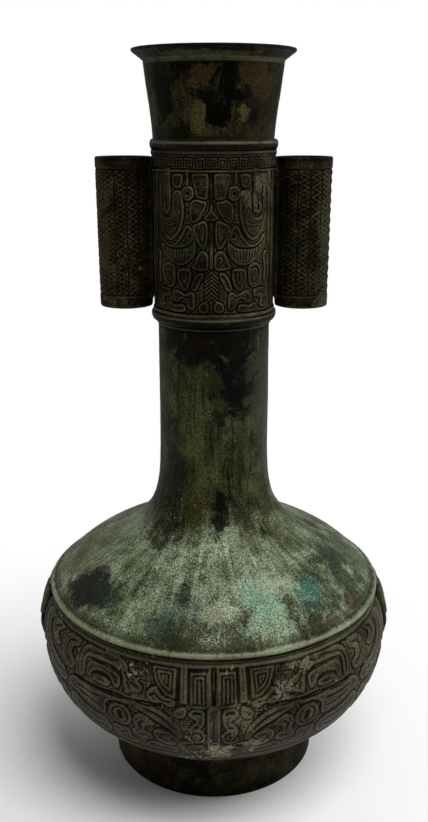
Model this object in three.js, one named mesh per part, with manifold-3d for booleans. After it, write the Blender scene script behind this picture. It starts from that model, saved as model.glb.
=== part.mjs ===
// A bronze arrow vase with two tubular ears, cast in sections.
// Millimetres, +Z up, origin at the centre of the standing face, ears along X, front towards -Y.

import * as THREE from 'three';
import { mergeVertices } from 'three/addons/utils/BufferGeometryUtils.js';
import Module from 'manifold-3d';

const wasm = await Module();
wasm.setup();

// Clearances
const lapClearance = 0.3; // round a spigot or a tenon in its socket
const seatGap = 0.3; // under a casting that is cut to a curved wall
const cutOvershoot = 1; // how far a cutter reaches past the face that it opens

// Foot ring and base plate
const footHeight = 30.6;
const footRimRadius = 56.5;
const footTopRadius = 57.5;
const footWall = 4;
const footEdgeRound = 0.8;
const ledgeWidth = 3;
const ledgeThickness = 3;
const ledgeRootInset = 0.5; // where the slope under the ledge ends, in from the bore
const basePlateThickness = 3;
const bowlLapDepth = 3;

// Bowl: an elliptic section, its widest point at the end of bowlReach
const bowlCentreRadius = 50;
const bowlReach = 45.5;
const bowlDepth = 48.2; // foot to the widest level
const bandRise = 25.7; // widest level to the ridge
const bowlCrownHeight = 47; // upper half axis of the section
const bowlWall = 3.2;
const bowlOverhang = 0.5; // past the top of the foot
const bowlReliefDepth = 0.8; // ground below the raised forms
const bowlLowerBorder = 18; // foot to the lower edge of the relief
const bowlUpperBorder = 3; // ridge down to the upper edge of the relief

// Shoulder dome
const domeHeight = 85.5;
const domeWall = 3;
const domeLapDepth = 3.5;
const domeLapWall = 2.6;
const domeStepHeight = 2; // least height from a lap to the curved inner wall
const ridgeHeight = 4;
const ridgeProjection = 2.1;
const crownRise = 8.2; // how far the dome's curve aims up, and how far in, as it leaves the ridge
const crownLean = 8.5;
const shoulderTurnRadius = 59.5; // where the dome turns into the neck's flare
const shoulderTurnHeight = 25.1;
const shoulderTurnSlope = 26; // degrees above level
const shoulderEase = 15; // how far the curves hold their direction at the turn, below and above it
const flareEase = 30.6;
const neckEase = 38.3; // and under the neck

// Neck
const neckRadius = 28.5;
const neckWall = 3.5;
const neckLength = 61.3;
const spigotDepth = 8;
const spigotWall = 1.8;
const filletHeight = 1.6;
const filletProjection = 0.75;
const filletDrop = 1.2; // collar seat to the middle of the fillet

// Sleeve and its two collars
const sleeveHeight = 77.8;
const sleeveWall = 3.9;
const sleeveReliefDepth = 0.8; // ground below the raised forms
const sleeveLowerBorder = 2; // plain edge under the relief
const sleeveUpperBorder = 8.4; // frieze and edge above it
const collarRoot = 1; // sleeve's face in to the bead's root
const lowerCollarHeight = 5.3;
const lowerCollarProjection = 0.9;
const upperCollarHeight = 5.2;
const upperCollarProjection = 0.5;
const collarCrest = 3.1; // seat to the bead's widest level

// Mouth
const trumpetHeight = 41;
const trumpetShoulder = 2.9; // land round the spigot
const trumpetHollow = 0.35; // how far its side is drawn in halfway up
const mouthRadius = 33.9; // under the lip
const mouthWall = 3;
const lipRadius = 39.5;
const lipUnderHeight = 4; // height of the flare under the lip
const lipFlareFullness = 0.4; // how far the flare bulges past a straight slope
const lipEdgeHeight = 1.6;
const lipEdgeRound = 0.5;
const lipLandWidth = 2.2; // nearly flat top of the lip
const lipLandDrop = 0.4;
const throatEase = 1.5; // how far the throat's curve starts outside its wall

// Tubular ears
const earLength = 73.2;
const earDrop = 3.2; // top of the sleeve to the top of the ear
const earTopRadius = 14;
const earBottomRadius = 13.5;
const earWall = 2;
const earBite = 0.5; // how far the sleeve's curve cuts into the ear's wall
const earPadWidth = 11;
const earPadInset = 4;
const tenonRadius = 3.5;
const tenonSpacing = 32;

// Side masks
const maskChinThickness = 0.6;
const maskBrowThickness = 3.2;
const maskTopRise = 26; // widest level to the top edge
const maskTopWidth = 30;
const maskCheekWidth = 25.5;
const maskJawWidth = 18;
const maskChinDrop = 11; // widest level to the chin
const maskChinWidth = 13;
const maskChinRound = 5; // height of the chin's round
const maskCheekRise = 8; // widest level to the cheeks, and to where the sides stand upright
const maskTempleRise = 14;
const maskCornerRound = 3; // height of the ears' round tips
const maskEarTipSpacing = 27;
const maskCrownWidth = 18; // between the ears, along the top edge
const maskCrownDip = 1; // middle of the top edge, below its highest level
const maskRelief = 0.8; // brow, nose and snout past the plate
const maskEyeRise = 10;
const maskEyeSpacing = 15;
const maskBrowRise = 15;
const maskEarRise = 21.5;
const maskEarSpacing = 21;
const maskTenonRadius = 4;
const maskTenonRise = 5;

// Facets
const bodyFacets = 40;
const neckFacets = 28;
const earFacets = 24;

// Levels, stacked from the standing face
const ledgeLevel = footHeight - bowlLapDepth - basePlateThickness;
const equatorLevel = footHeight + bowlDepth;
const ridgeLevel = equatorLevel + bandRise;
const neckLevel = ridgeLevel + domeHeight;
const lowerCollarLevel = neckLevel + neckLength;
const sleeveLevel = lowerCollarLevel + lowerCollarHeight;
const upperCollarLevel = sleeveLevel + sleeveHeight;
const trumpetLevel = upperCollarLevel + upperCollarHeight;
const mouthLevel = trumpetLevel + trumpetHeight;

// Radii that follow from the driving ones
const footBore = footTopRadius - footWall;
const neckBore = neckRadius - neckWall;
const spigotRadius = neckBore + spigotWall;
const sleeveBore = spigotRadius + lapClearance;
const sleeveRadius = sleeveBore + sleeveWall;

const castBronze = { olive: 0x3a3a28, brown: 0x2c281c, green: 0x5c6550, dark: 0x1c1b13 };

// The point of the list that a radius and a height make
const at = (radius, height) => new THREE.Vector2(radius, height);

// Points along an elliptic arc of the section, angles in degrees from the outward direction
function arc(centreRadius, centreHeight, reach, rise, from, to, steps) {
  const points = [];
  for (let i = 0; i <= steps; i += 1) {
    const angle = THREE.MathUtils.degToRad(from + ((to - from) * i) / steps);
    points.push(at(centreRadius + reach * Math.cos(angle), centreHeight + rise * Math.sin(angle)));
  }
  return points;
}

// A bead of the section: half an ellipse standing out from a wall, from its foot upwards
function bead(wallRadius, middleHeight, projection, height, steps) {
  return arc(wallRadius, middleHeight, projection, height / 2, -90, 90, steps);
}

// The same outline moved inwards by a distance that may change from point to point
function inset(points, distanceAt) {
  return points.map((point, i) => {
    const before = points[Math.max(i - 1, 0)];
    const after = points[Math.min(i + 1, points.length - 1)];
    const along = after.clone().sub(before).normalize();
    const distance = distanceAt(point);
    return at(point.x - along.y * distance, point.y + along.x * distance);
  });
}

// A ring or shell from a closed section, outer wall listed upwards and inner wall downwards
function revolve(section, facets) {
  const geometry = new THREE.LatheGeometry([...section, section[0].clone()], facets);
  return geometry.rotateX(Math.PI / 2);
}

// A full turned solid from its outer wall alone
function revolveSolid(outline, facets) {
  const bottom = at(0, outline[0].y);
  const top = at(0, outline[outline.length - 1].y);
  return new THREE.LatheGeometry([bottom, ...outline, top], facets).rotateX(Math.PI / 2);
}

function toSolid(geometry) {
  geometry.deleteAttribute('normal');
  geometry.deleteAttribute('uv');
  const merged = mergeVertices(geometry, 1e-4);
  return new wasm.Manifold(new wasm.Mesh({
    numProp: 3,
    vertProperties: new Float32Array(merged.attributes.position.array),
    triVerts: new Uint32Array(merged.index.array),
  }));
}

function toGeometry(solid) {
  const { vertProperties, triVerts } = solid.getMesh();
  const geometry = new THREE.BufferGeometry();
  geometry.setAttribute('position', new THREE.BufferAttribute(vertProperties, 3));
  geometry.setIndex(new THREE.BufferAttribute(triVerts, 1));
  return geometry;
}

// A round bar along X between two places
function barAlongX(radius, fromX, toX, height, facets) {
  const bar = new THREE.CylinderGeometry(radius, radius, toX - fromX, facets);
  return bar.rotateZ(-Math.PI / 2).translate((fromX + toX) / 2, 0, height);
}

// A smooth lump, leaning by an angle in the YZ plane
function lump(centre, radii, lean = 0) {
  const ball = new THREE.SphereGeometry(1, 6, 4).rotateX(Math.PI / 2);
  return ball.scale(...radii).rotateX(lean).translate(...centre);
}

// Stations with more between them where a form reaches far round or up the wall
function followWall(stations, wall) {
  const closer = [stations[0]];
  stations.slice(1).forEach((station, i) => {
    const before = stations[i];
    const stepsAcross = Math.ceil(Math.abs(station[0] - before[0]) / wall.longestStep);
    const stepsUp = Math.ceil(Math.abs(station[1] - before[1]) / wall.longestRise);
    const parts = Math.max(stepsAcross, stepsUp);
    for (let k = 1; k < parts; k += 1) {
      closer.push(before.map((value, axis) => THREE.MathUtils.lerp(value, station[axis], k / parts)));
    }
    closer.push(station);
  });
  return closer;
}

// One raised form of a relief: a flat-topped rib along stations [across, up, width], all on a wall.
// The wall turns a place and a lift into a point, and gives the size in mm of one step across and up.
const ribSink = 0.5; // below the ground
const ribTopShare = 0.6; // width of the top against the foot

function rib(form, wall) {
  const stations = followWall(form, wall);
  const rings = stations.map(([across, up, width], i) => {
    const before = stations[Math.max(i - 1, 0)];
    const after = stations[Math.min(i + 1, stations.length - 1)];
    const [stepAcross, stepUp] = wall.steps(up);
    const along = at((after[0] - before[0]) * stepAcross, (after[1] - before[1]) * stepUp).normalize();
    const corner = (side, lift) => wall.point(
      across - (along.y * side) / stepAcross,
      up + (along.x * side) / stepUp,
      lift,
    );
    const [foot, top] = [width / 2, (width / 2) * ribTopShare];
    const low = -wall.depth - ribSink;
    return [corner(-foot, low), corner(-top, 0), corner(top, 0), corner(foot, low)];
  });
  const sides = rings[0].length;
  const corners = rings.flat();
  const faces = [0, 1, 2, 0, 2, 3];
  const last = corners.length - sides;
  faces.push(last, last + 2, last + 1, last, last + 3, last + 2);
  for (let start = 0; start < last; start += sides) {
    for (let i = 0; i < sides; i += 1) {
      const next = (i + 1) % sides;
      faces.push(start + i, start + sides + next, start + next);
      faces.push(start + i, start + sides + i, start + sides + next);
    }
  }
  const geometry = new THREE.BufferGeometry();
  geometry.setAttribute('position', new THREE.Float32BufferAttribute(corners.flat(), 3));
  geometry.setIndex(faces);
  return toSolid(geometry);
}

// All copies of a relief's forms: mirrored, and the whole front again on the back
function raiseRelief(body, forms, wall) {
  const mirrored = ([across, up, width]) => [-across, up, width];
  const turned = ([across, up, width]) => [across + 180, up, width];
  const front = forms.flatMap((form) => (
    form.some(([across]) => across !== 0) ? [form, form.map(mirrored).reverse()] : [form]
  ));
  const all = [...front, ...front.map((form) => form.map(turned))];
  return all.reduce((solid, form) => solid.add(rib(form, wall)), body);
}

// A point in space from an angle round the vase, 0 at the front, and a place in the section
function around(degrees, place) {
  const angle = THREE.MathUtils.degToRad(degrees);
  return [place.x * Math.sin(angle), -place.x * Math.cos(angle), place.y];
}

// Foot: a plain ring with an inner ledge that carries the base plate
function footRing() {
  const footRimBore = footRimRadius - footWall;
  return revolve([
    at(footRimBore, 0),
    at(footRimRadius - footEdgeRound, 0),
    at(footRimRadius, footEdgeRound),
    at(footTopRadius, footHeight),
    at(footBore, footHeight),
    at(footBore, ledgeLevel),
    at(footBore - ledgeWidth, ledgeLevel),
    at(footBore - ledgeWidth, ledgeLevel - ledgeThickness),
    at(footBore - ledgeRootInset, ledgeLevel - ledgeThickness - ledgeWidth),
  ], bodyFacets);
}

function basePlate() {
  return revolveSolid([
    at(footBore - lapClearance, ledgeLevel),
    at(footBore - lapClearance, ledgeLevel + basePlateThickness),
  ], bodyFacets);
}

// Where the bowl's section starts and ends
const bowlSeatRadius = footTopRadius + bowlOverhang;
const bowlLowAngle = Math.acos((bowlSeatRadius - bowlCentreRadius) / bowlReach);
const bowlFall = bowlDepth / Math.sin(bowlLowAngle);
const bowlRimAngle = Math.asin(bandRise / bowlCrownHeight);
const bowlRimRadius = bowlCentreRadius + bowlReach * Math.cos(bowlRimAngle);

// The bowl's wall at a height over its widest level, moved outwards by a lift
function bowlPlace(rise, lift = 0) {
  const halfAxis = rise > 0 ? bowlCrownHeight : bowlFall;
  const angle = Math.asin(rise / halfAxis);
  const outward = at(Math.cos(angle) * halfAxis, Math.sin(angle) * bowlReach).normalize();
  const wall = at(bowlCentreRadius + bowlReach * Math.cos(angle), equatorLevel + rise);
  return wall.addScaledVector(outward, lift);
}

// Points of the wall between two heights
function bowlStretch(fromRise, toRise, lift, steps) {
  const places = [];
  for (let i = 0; i <= steps; i += 1) {
    places.push(bowlPlace(fromRise + ((toRise - fromRise) * i) / steps, lift));
  }
  return places;
}

// Outer wall of the bowl, from its seat on the foot to its rim under the ridge
const bowlOuter = () => [
  ...bowlStretch(-bowlDepth, 0, 0, 9),
  ...bowlStretch(0, bandRise, 0, 5).slice(1),
];

// The same wall with the ground of the relief sunk between its borders
const bowlReliefLow = bowlLowerBorder - bowlDepth;
const bowlReliefHigh = bandRise - bowlUpperBorder;
const sunkBowlOuter = () => [
  ...bowlStretch(-bowlDepth, bowlReliefLow, 0, 2),
  ...bowlStretch(bowlReliefLow, 0, -bowlReliefDepth, 3),
  ...bowlStretch(0, bowlReliefHigh, -bowlReliefDepth, 2).slice(1),
  ...bowlStretch(bowlReliefHigh, bandRise, 0, 1),
];

// Stations of the bowl's relief: degrees round from the front, height in percent of the relief, width.
// The longest step and rise between two stations keep a form's top on the curved wall.
const bowlReliefWall = {
  depth: bowlReliefDepth,
  longestStep: 9,
  longestRise: 24,
  rise: (up) => bowlReliefLow + ((bowlReliefHigh - bowlReliefLow) * up) / 100,
  point(across, up, lift) {
    return around(across, bowlPlace(this.rise(up), lift));
  },
  steps(up) {
    const here = bowlPlace(this.rise(up));
    const upwards = bowlPlace(this.rise(up + 1)).sub(here).length();
    return [THREE.MathUtils.degToRad(here.x), upwards];
  },
};

const bowlForms = [
  // nose column, the hairpin and bar beside it, and the triangular shield
  [[0, 9, 4], [0, 22, 5.8], [0, 57, 5.8], [0, 66, 5]],
  [[2, 68, 1.8], [2, 96, 1.8], [6.1, 96, 1.8], [6.1, 68, 1.8]],
  [[8.7, 68, 3], [8.7, 99, 3]],
  [[14.8, 97, 9.4], [12.6, 76, 2]],
  // leaf, horn and brow
  [[14, 69.5, 4], [24.6, 79, 6.4], [28.2, 97, 3.4]],
  [[31.2, 94, 4.6], [42.6, 93.6, 4.8], [44.4, 69, 3]],
  [[32.4, 80, 4.4], [40, 80, 4.4]],
  // slanting leaf and nostril curls
  [[9.8, 33, 1.8], [14.4, 48, 6.2], [23.6, 59.5, 1.8]],
  [[4.6, 60, 5.4], [4.4, 47, 4.8], [5.2, 30, 7.6]],
  // eye, cheek and lower row
  [[26, 43, 9.4], [32, 43, 9.4]],
  [[21.4, 46, 6], [21.8, 20.5, 6]],
  [[3.4, 14, 6], [16.4, 24, 6.4]],
  // jaw, cheek plate and ear
  [[35.4, 20, 9], [43, 21, 11.4], [50.6, 31, 6]],
  [[34.8, 48, 8.4], [50, 53, 5]],
  [[53, 94, 5.4], [50, 72, 5.4]],
  // body and tail, leg and claw
  [[53.6, 53, 7], [65.4, 62, 9.4], [69.8, 93, 6]],
  [[76, 58, 4], [78.6, 94, 5.4]],
  [[58.4, 30, 6], [65, 37, 6]],
  [[67, 12, 5], [72, 46, 6]],
];

// Lap of the bowl's rim inside the dome's rim
const domeSocketRadius = bowlRimRadius - domeLapWall;
const bowlSpigotRadius = domeSocketRadius - lapClearance;

function bowl() {
  const inner = inset(bowlOuter(), () => bowlWall).slice(1, -1).filter((point, i) => i % 2 === 0).reverse();
  const lapRadius = footBore - lapClearance;
  const lapBottom = footHeight - bowlLapDepth + lapClearance;
  const spigotTop = ridgeLevel + domeLapDepth - lapClearance;
  const spigotBore = bowlSpigotRadius - bowlWall;
  const shell = toSolid(revolve([
    at(lapRadius - bowlWall, lapBottom),
    at(lapRadius, lapBottom),
    at(lapRadius, footHeight),
    ...sunkBowlOuter(),
    at(bowlSpigotRadius, ridgeLevel),
    at(bowlSpigotRadius, spigotTop),
    at(spigotBore, spigotTop),
    at(spigotBore, ridgeLevel),
    ...inner,
    at(lapRadius - bowlWall, footHeight + bowlWall),
  ], bodyFacets));
  return raiseRelief(shell, bowlForms, bowlReliefWall);
}

// Dome: convex from the ridge, then sweeping up into the neck
function domeOuter() {
  const slope = THREE.MathUtils.degToRad(shoulderTurnSlope);
  const uphill = at(-Math.cos(slope), Math.sin(slope));
  const start = at(bowlRimRadius, ridgeLevel + ridgeHeight);
  const turn = at(shoulderTurnRadius, ridgeLevel + shoulderTurnHeight);
  const top = at(neckRadius, neckLevel);
  const crown = new THREE.CubicBezierCurve(
    start,
    start.clone().add(at(-crownLean, crownRise)),
    turn.clone().addScaledVector(uphill, -shoulderEase),
    turn,
  );
  const sweep = new THREE.CubicBezierCurve(
    turn,
    turn.clone().addScaledVector(uphill, flareEase),
    top.clone().add(at(0, -neckEase)),
    top,
  );
  return [...crown.getPoints(4), ...sweep.getPoints(8).slice(1)];
}

function shoulderDome() {
  const outer = domeOuter();
  const inner = inset(outer, () => domeWall).filter((point, i) => i % 3 === 1).reverse();
  const lapTop = ridgeLevel + domeLapDepth;
  const ridge = bead(bowlRimRadius, ridgeLevel + ridgeHeight / 2, ridgeProjection, ridgeHeight, 3);
  return revolve([
    at(domeSocketRadius, ridgeLevel),
    ...ridge,
    ...outer.slice(1),
    at(spigotRadius + lapClearance, neckLevel),
    at(spigotRadius + lapClearance, neckLevel - spigotDepth),
    at(neckBore, neckLevel - spigotDepth),
    ...inner.filter((point) => (
      point.y < neckLevel - spigotDepth - domeStepHeight && point.y > lapTop + domeStepHeight
    )),
    at(domeSocketRadius - bowlWall, lapTop),
    at(domeSocketRadius, lapTop),
  ], bodyFacets);
}

// A section's lap: the spigot that hangs below a seat and enters the piece beneath
function spigotBelow(seatLevel) {
  return [
    at(neckBore, seatLevel - spigotDepth + lapClearance),
    at(spigotRadius, seatLevel - spigotDepth + lapClearance),
    at(spigotRadius, seatLevel),
  ];
}

// Neck: a plain tube with a thin fillet under the collar and a spigot at each end
function lowerNeck() {
  const filletLevel = lowerCollarLevel - filletDrop;
  return revolve([
    ...spigotBelow(neckLevel),
    at(neckRadius, neckLevel),
    ...bead(neckRadius, filletLevel, filletProjection, filletHeight, 3),
    at(neckRadius, lowerCollarLevel),
    at(spigotRadius, lowerCollarLevel),
    at(spigotRadius, sleeveLevel + spigotDepth),
    at(neckBore, sleeveLevel + spigotDepth),
  ], neckFacets);
}

// A collar that covers the joint between two castings: a bead, its crest above the middle
function collar(level, height, projection) {
  const root = sleeveRadius - collarRoot;
  const reach = collarRoot + projection;
  return revolve([
    at(sleeveBore, level),
    ...arc(root, level + collarCrest, reach, collarCrest, -90, 0, 3),
    ...arc(root, level + collarCrest, reach, height - collarCrest, 0, 90, 2).slice(1),
    at(sleeveBore, level + height),
  ], neckFacets);
}

// Sleeve: the drum that carries the ears, bored for their tenons
const tenonLevels = [-0.5, 0.5].map((side) => sleeveLevel + sleeveHeight / 2 + side * tenonSpacing);

const sleeveReliefLow = sleeveLevel + sleeveLowerBorder;
const sleeveReliefHigh = upperCollarLevel - sleeveUpperBorder;

// Stations of the sleeve's relief: degrees round from the front, height in percent of the relief, width
const sleeveReliefWall = {
  depth: sleeveReliefDepth,
  longestStep: 14,
  longestRise: Infinity, // the sleeve is straight upwards
  point(across, up, lift) {
    const level = sleeveReliefLow + ((sleeveReliefHigh - sleeveReliefLow) * up) / 100;
    return around(across, at(sleeveRadius + lift, level));
  },
  steps: () => [THREE.MathUtils.degToRad(sleeveRadius), (sleeveReliefHigh - sleeveReliefLow) / 100],
};

const sleeveForms = [
  // snout in three plates beside the middle line
  [[9.4, 95.5, 6.6], [7.8, 82.5, 5.2]],
  [[12.4, 78.5, 6], [13, 70, 6]],
  [[10, 64, 6], [7, 50, 3.4]],
  // eye, hooked bar and the loop that it hangs in
  [[17, 85, 5], [25, 85, 6.4]],
  [[42.4, 99, 2.8], [42.4, 72, 2.8]],
  [[31.6, 84, 4.8], [31.6, 62, 5.4], [43, 54, 6], [54, 80, 4]],
  // wing, lobe, pendant and curls
  [[19.6, 46, 8.4], [38, 42, 9], [54, 54, 3]],
  [[6.6, 43, 4.4], [10.4, 34.5, 6]],
  [[25.2, 32, 7], [24.6, 20, 4]],
  [[37.4, 29.5, 6.4], [49.4, 29.5, 6.4]],
  [[16.6, 7, 5], [24, 15, 4.4], [37, 13.5, 5]],
  [[44, 17.5, 4], [57, 12, 5.4]],
];

function neckSleeve() {
  const ground = sleeveRadius - sleeveReliefDepth;
  const drum = toSolid(revolve([
    at(sleeveBore, sleeveLevel),
    at(sleeveRadius, sleeveLevel),
    at(sleeveRadius, sleeveReliefLow),
    at(ground, sleeveReliefLow),
    at(ground, sleeveReliefHigh),
    at(sleeveRadius, sleeveReliefHigh),
    at(sleeveRadius, upperCollarLevel),
    at(sleeveBore, upperCollarLevel),
  ], neckFacets));
  const reach = sleeveRadius + cutOvershoot;
  const decorated = raiseRelief(drum, sleeveForms, sleeveReliefWall);
  return toGeometry(tenonLevels.reduce((solid, level) => {
    const hole = barAlongX(tenonRadius + lapClearance, -reach, reach, level, 16);
    return solid.subtract(toSolid(hole));
  }, decorated));
}

// Mouth: a flaring tube with a thin everted lip
function mouthTrumpet() {
  const baseRadius = spigotRadius + trumpetShoulder;
  const creaseLevel = mouthLevel - lipEdgeHeight - lipUnderHeight;
  const flare = new THREE.QuadraticBezierCurve(
    at(mouthRadius, creaseLevel),
    at((mouthRadius + lipRadius) / 2 + lipFlareFullness, creaseLevel + lipUnderHeight / 3),
    at(lipRadius - lipEdgeRound, mouthLevel - lipEdgeHeight),
  );
  const throat = new THREE.QuadraticBezierCurve(
    at(lipRadius - lipLandWidth, mouthLevel - lipLandDrop),
    at(mouthRadius - mouthWall + throatEase, creaseLevel + lipUnderHeight / 2),
    at(mouthRadius - mouthWall, creaseLevel - lipUnderHeight),
  );
  return revolve([
    ...spigotBelow(trumpetLevel),
    at(baseRadius, trumpetLevel),
    at((baseRadius + mouthRadius) / 2 - trumpetHollow, (trumpetLevel + creaseLevel) / 2),
    ...flare.getPoints(3),
    at(lipRadius, mouthLevel - lipEdgeHeight / 2),
    at(lipRadius - lipEdgeRound, mouthLevel),
    ...throat.getPoints(3),
    at(neckBore, trumpetLevel),
  ], neckFacets);
}

// Ear: a tapering tube open at both ends, with a pad and two tenons that seat on the sleeve
const earCentre = sleeveRadius + earTopRadius - earBite;
const earTopLevel = upperCollarLevel - earDrop;
const earBottomLevel = earTopLevel - earLength;

function earTube(side) {
  const tube = toSolid(revolveSolid([
    at(earBottomRadius, earBottomLevel),
    at(earTopRadius, earTopLevel),
  ], earFacets).translate(earCentre, 0, 0));
  const bore = toSolid(revolveSolid([
    at(earBottomRadius - earWall, earBottomLevel - cutOvershoot),
    at(earTopRadius - earWall, earTopLevel + cutOvershoot),
  ], earFacets).translate(earCentre, 0, 0));
  const padLength = earLength - 2 * earPadInset;
  const padReach = earCentre - sleeveBore;
  const pad = toSolid(new THREE.BoxGeometry(padReach, earPadWidth, padLength)
    .translate(sleeveBore + padReach / 2, 0, (earTopLevel + earBottomLevel) / 2));
  const seat = toSolid(revolveSolid([
    at(sleeveRadius + seatGap, earBottomLevel - cutOvershoot),
    at(sleeveRadius + seatGap, earTopLevel + cutOvershoot),
  ], neckFacets));
  const tenons = tenonLevels.map((level) => (
    toSolid(barAlongX(tenonRadius, sleeveBore, earCentre, level, 16))
  ));
  const body = tube.add(pad).subtract(seat);
  const ear = tenons.reduce((solid, tenon) => solid.add(tenon), body).subtract(bore);
  return toGeometry(ear.scale([side, 1, 1]));
}

// Side mask: an animal mask whose back follows the bowl, held by a tenon
const maskTenonLevel = equatorLevel + maskTenonRise;

// The wall that the mask lies on, moved outwards
const maskWall = (distanceAt) => (
  toSolid(revolveSolid(inset(bowlOuter(), (point) => -distanceAt(point)), bodyFacets))
);

// The mask thickens from its chin to its brow
function maskThicknessAt(rise) {
  const share = (rise + maskChinDrop) / (maskChinDrop + maskTopRise);
  return THREE.MathUtils.lerp(maskChinThickness, maskBrowThickness, THREE.MathUtils.clamp(share, 0, 1));
}

// Outline of the mask's plate in Y and Z: ears at the top corners, drawn in to the chin
function maskPlate() {
  const top = equatorLevel + maskTopRise;
  const chin = equatorLevel - maskChinDrop;
  const [chinHalf, jawHalf, cheekHalf] = [maskChinWidth / 2, maskJawWidth / 2, maskCheekWidth / 2];
  const [topHalf, earTipHalf, crownHalf] = [maskTopWidth / 2, maskEarTipSpacing / 2, maskCrownWidth / 2];
  const cheek = equatorLevel + maskCheekRise;
  const outline = new THREE.Shape();
  outline.moveTo(0, chin);
  outline.quadraticCurveTo(chinHalf, chin, chinHalf, chin + maskChinRound);
  outline.quadraticCurveTo(jawHalf, cheek - maskChinRound, cheekHalf, cheek);
  outline.quadraticCurveTo(topHalf, equatorLevel + maskTempleRise, topHalf, top - maskCornerRound);
  outline.quadraticCurveTo(earTipHalf, top + maskCrownDip, crownHalf, top - maskCornerRound / 2);
  outline.quadraticCurveTo(crownHalf / 2, top - maskCornerRound, 0, top - maskCrownDip);
  const half = outline.getPoints(3);
  const mirrored = half.slice(1, -1).reverse().map((point) => new THREE.Vector2(-point.x, point.y));
  const plate = new THREE.ExtrudeGeometry(new THREE.Shape([...half, ...mirrored]), {
    depth: bowlReach, bevelEnabled: false, steps: 1,
  });
  return plate.rotateX(Math.PI / 2).rotateZ(Math.PI / 2).translate(bowlCentreRadius + bowlReach / 2, 0, 0);
}

// Lumps of the mask's face: place, half width and half height, and how deep the middle lies
const maskLumps = [
  { across: 0, rise: 8, halfWidth: 2.6, halfHeight: 11, depth: 1 },
  { across: 0, rise: -3, halfWidth: 7.5, halfHeight: 5, depth: 1.2 },
  { across: maskEyeSpacing / 2, rise: maskEyeRise, halfWidth: 3.4, halfHeight: 2.6, depth: 1.2 },
  { across: maskEyeSpacing / 2, rise: maskBrowRise, halfWidth: 7, halfHeight: 1.8, depth: 1, lean: 0.25 },
  { across: maskEarSpacing / 2, rise: maskEarRise, halfWidth: 4.2, halfHeight: 3, depth: 1 },
];

// The same lump, or its pair, standing past the face by the mask's relief
function maskLump({ across, rise, halfWidth, halfHeight, depth, lean = 0 }) {
  const face = bowlPlace(rise).x + maskThicknessAt(rise);
  return (across === 0 ? [0] : [-across, across]).map((y) => {
    const centre = [face - depth - y ** 2 / (2 * face), y, equatorLevel + rise];
    return toSolid(lump(centre, [depth + maskRelief, halfWidth, halfHeight], Math.sign(y) * lean));
  });
}

function sideMask(side) {
  const front = maskWall((point) => seatGap + maskThicknessAt(point.y - equatorLevel));
  const plate = toSolid(maskPlate()).intersect(front);
  const face = maskLumps.flatMap(maskLump).reduce((solid, part) => solid.add(part), plate);
  const wallInside = bowlCentreRadius + bowlReach - bowlWall;
  const tenonEnd = wallInside + bowlWall + maskThicknessAt(0);
  const tenon = barAlongX(maskTenonRadius, wallInside, tenonEnd, maskTenonLevel, 16);
  return toGeometry(face.subtract(maskWall(() => seatGap)).add(toSolid(tenon)).scale([side, 1, 1]));
}

// The bowl with the holes for the masks' tenons
function piercedBowl() {
  const reach = bowlCentreRadius + bowlReach + cutOvershoot;
  const hole = barAlongX(maskTenonRadius + lapClearance, -reach, reach, maskTenonLevel, 16);
  return toGeometry(bowl().subtract(toSolid(hole)));
}

const object = new THREE.Group();

// Collars: each covers the joint under the next casting
const lowerCollar = collar(lowerCollarLevel, lowerCollarHeight, lowerCollarProjection);
const upperCollar = collar(upperCollarLevel, upperCollarHeight, upperCollarProjection);

function addPiece(name, geometry, colour, roughness) {
  const material = new THREE.MeshStandardMaterial({ color: colour, roughness, metalness: 0.6 });
  const mesh = new THREE.Mesh(geometry, material);
  mesh.name = name;
  object.add(mesh);
}

addPiece('foot_ring', footRing(), castBronze.dark, 0.6);
addPiece('base_plate', basePlate(), castBronze.dark, 0.7);
addPiece('bowl', piercedBowl(), castBronze.brown, 0.65);
addPiece('shoulder_dome', shoulderDome(), castBronze.green, 0.5);
addPiece('lower_neck', lowerNeck(), castBronze.olive, 0.5);
addPiece('lower_collar', lowerCollar, castBronze.olive, 0.55);
addPiece('neck_sleeve', neckSleeve(), castBronze.brown, 0.65);
addPiece('upper_collar', upperCollar, castBronze.olive, 0.55);
addPiece('mouth_trumpet', mouthTrumpet(), castBronze.olive, 0.5);
[['left', -1], ['right', 1]].forEach(([word, side]) => {
  addPiece(`ear_tube_${word}`, earTube(side), castBronze.dark, 0.6);
  addPiece(`side_mask_${word}`, sideMask(side), castBronze.brown, 0.6);
});

export default object;
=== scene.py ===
import functools
import math

import bmesh
import bpy
import mathutils
import numpy as np
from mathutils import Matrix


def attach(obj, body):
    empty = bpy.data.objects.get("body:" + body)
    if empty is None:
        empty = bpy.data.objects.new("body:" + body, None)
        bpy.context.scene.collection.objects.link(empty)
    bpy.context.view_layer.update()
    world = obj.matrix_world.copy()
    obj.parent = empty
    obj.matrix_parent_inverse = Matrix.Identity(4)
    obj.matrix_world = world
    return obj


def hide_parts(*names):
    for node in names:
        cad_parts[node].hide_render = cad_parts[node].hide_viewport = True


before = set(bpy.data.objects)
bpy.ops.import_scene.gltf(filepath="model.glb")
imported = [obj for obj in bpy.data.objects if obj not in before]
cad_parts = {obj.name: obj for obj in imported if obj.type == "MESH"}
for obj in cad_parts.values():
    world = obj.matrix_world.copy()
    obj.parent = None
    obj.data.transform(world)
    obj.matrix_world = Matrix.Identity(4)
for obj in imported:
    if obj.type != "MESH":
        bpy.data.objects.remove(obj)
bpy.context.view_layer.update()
scene = bpy.context.scene
mm = 0.001
mergeDistance = 1e-6
sharpAngle = math.radians(38)

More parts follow.
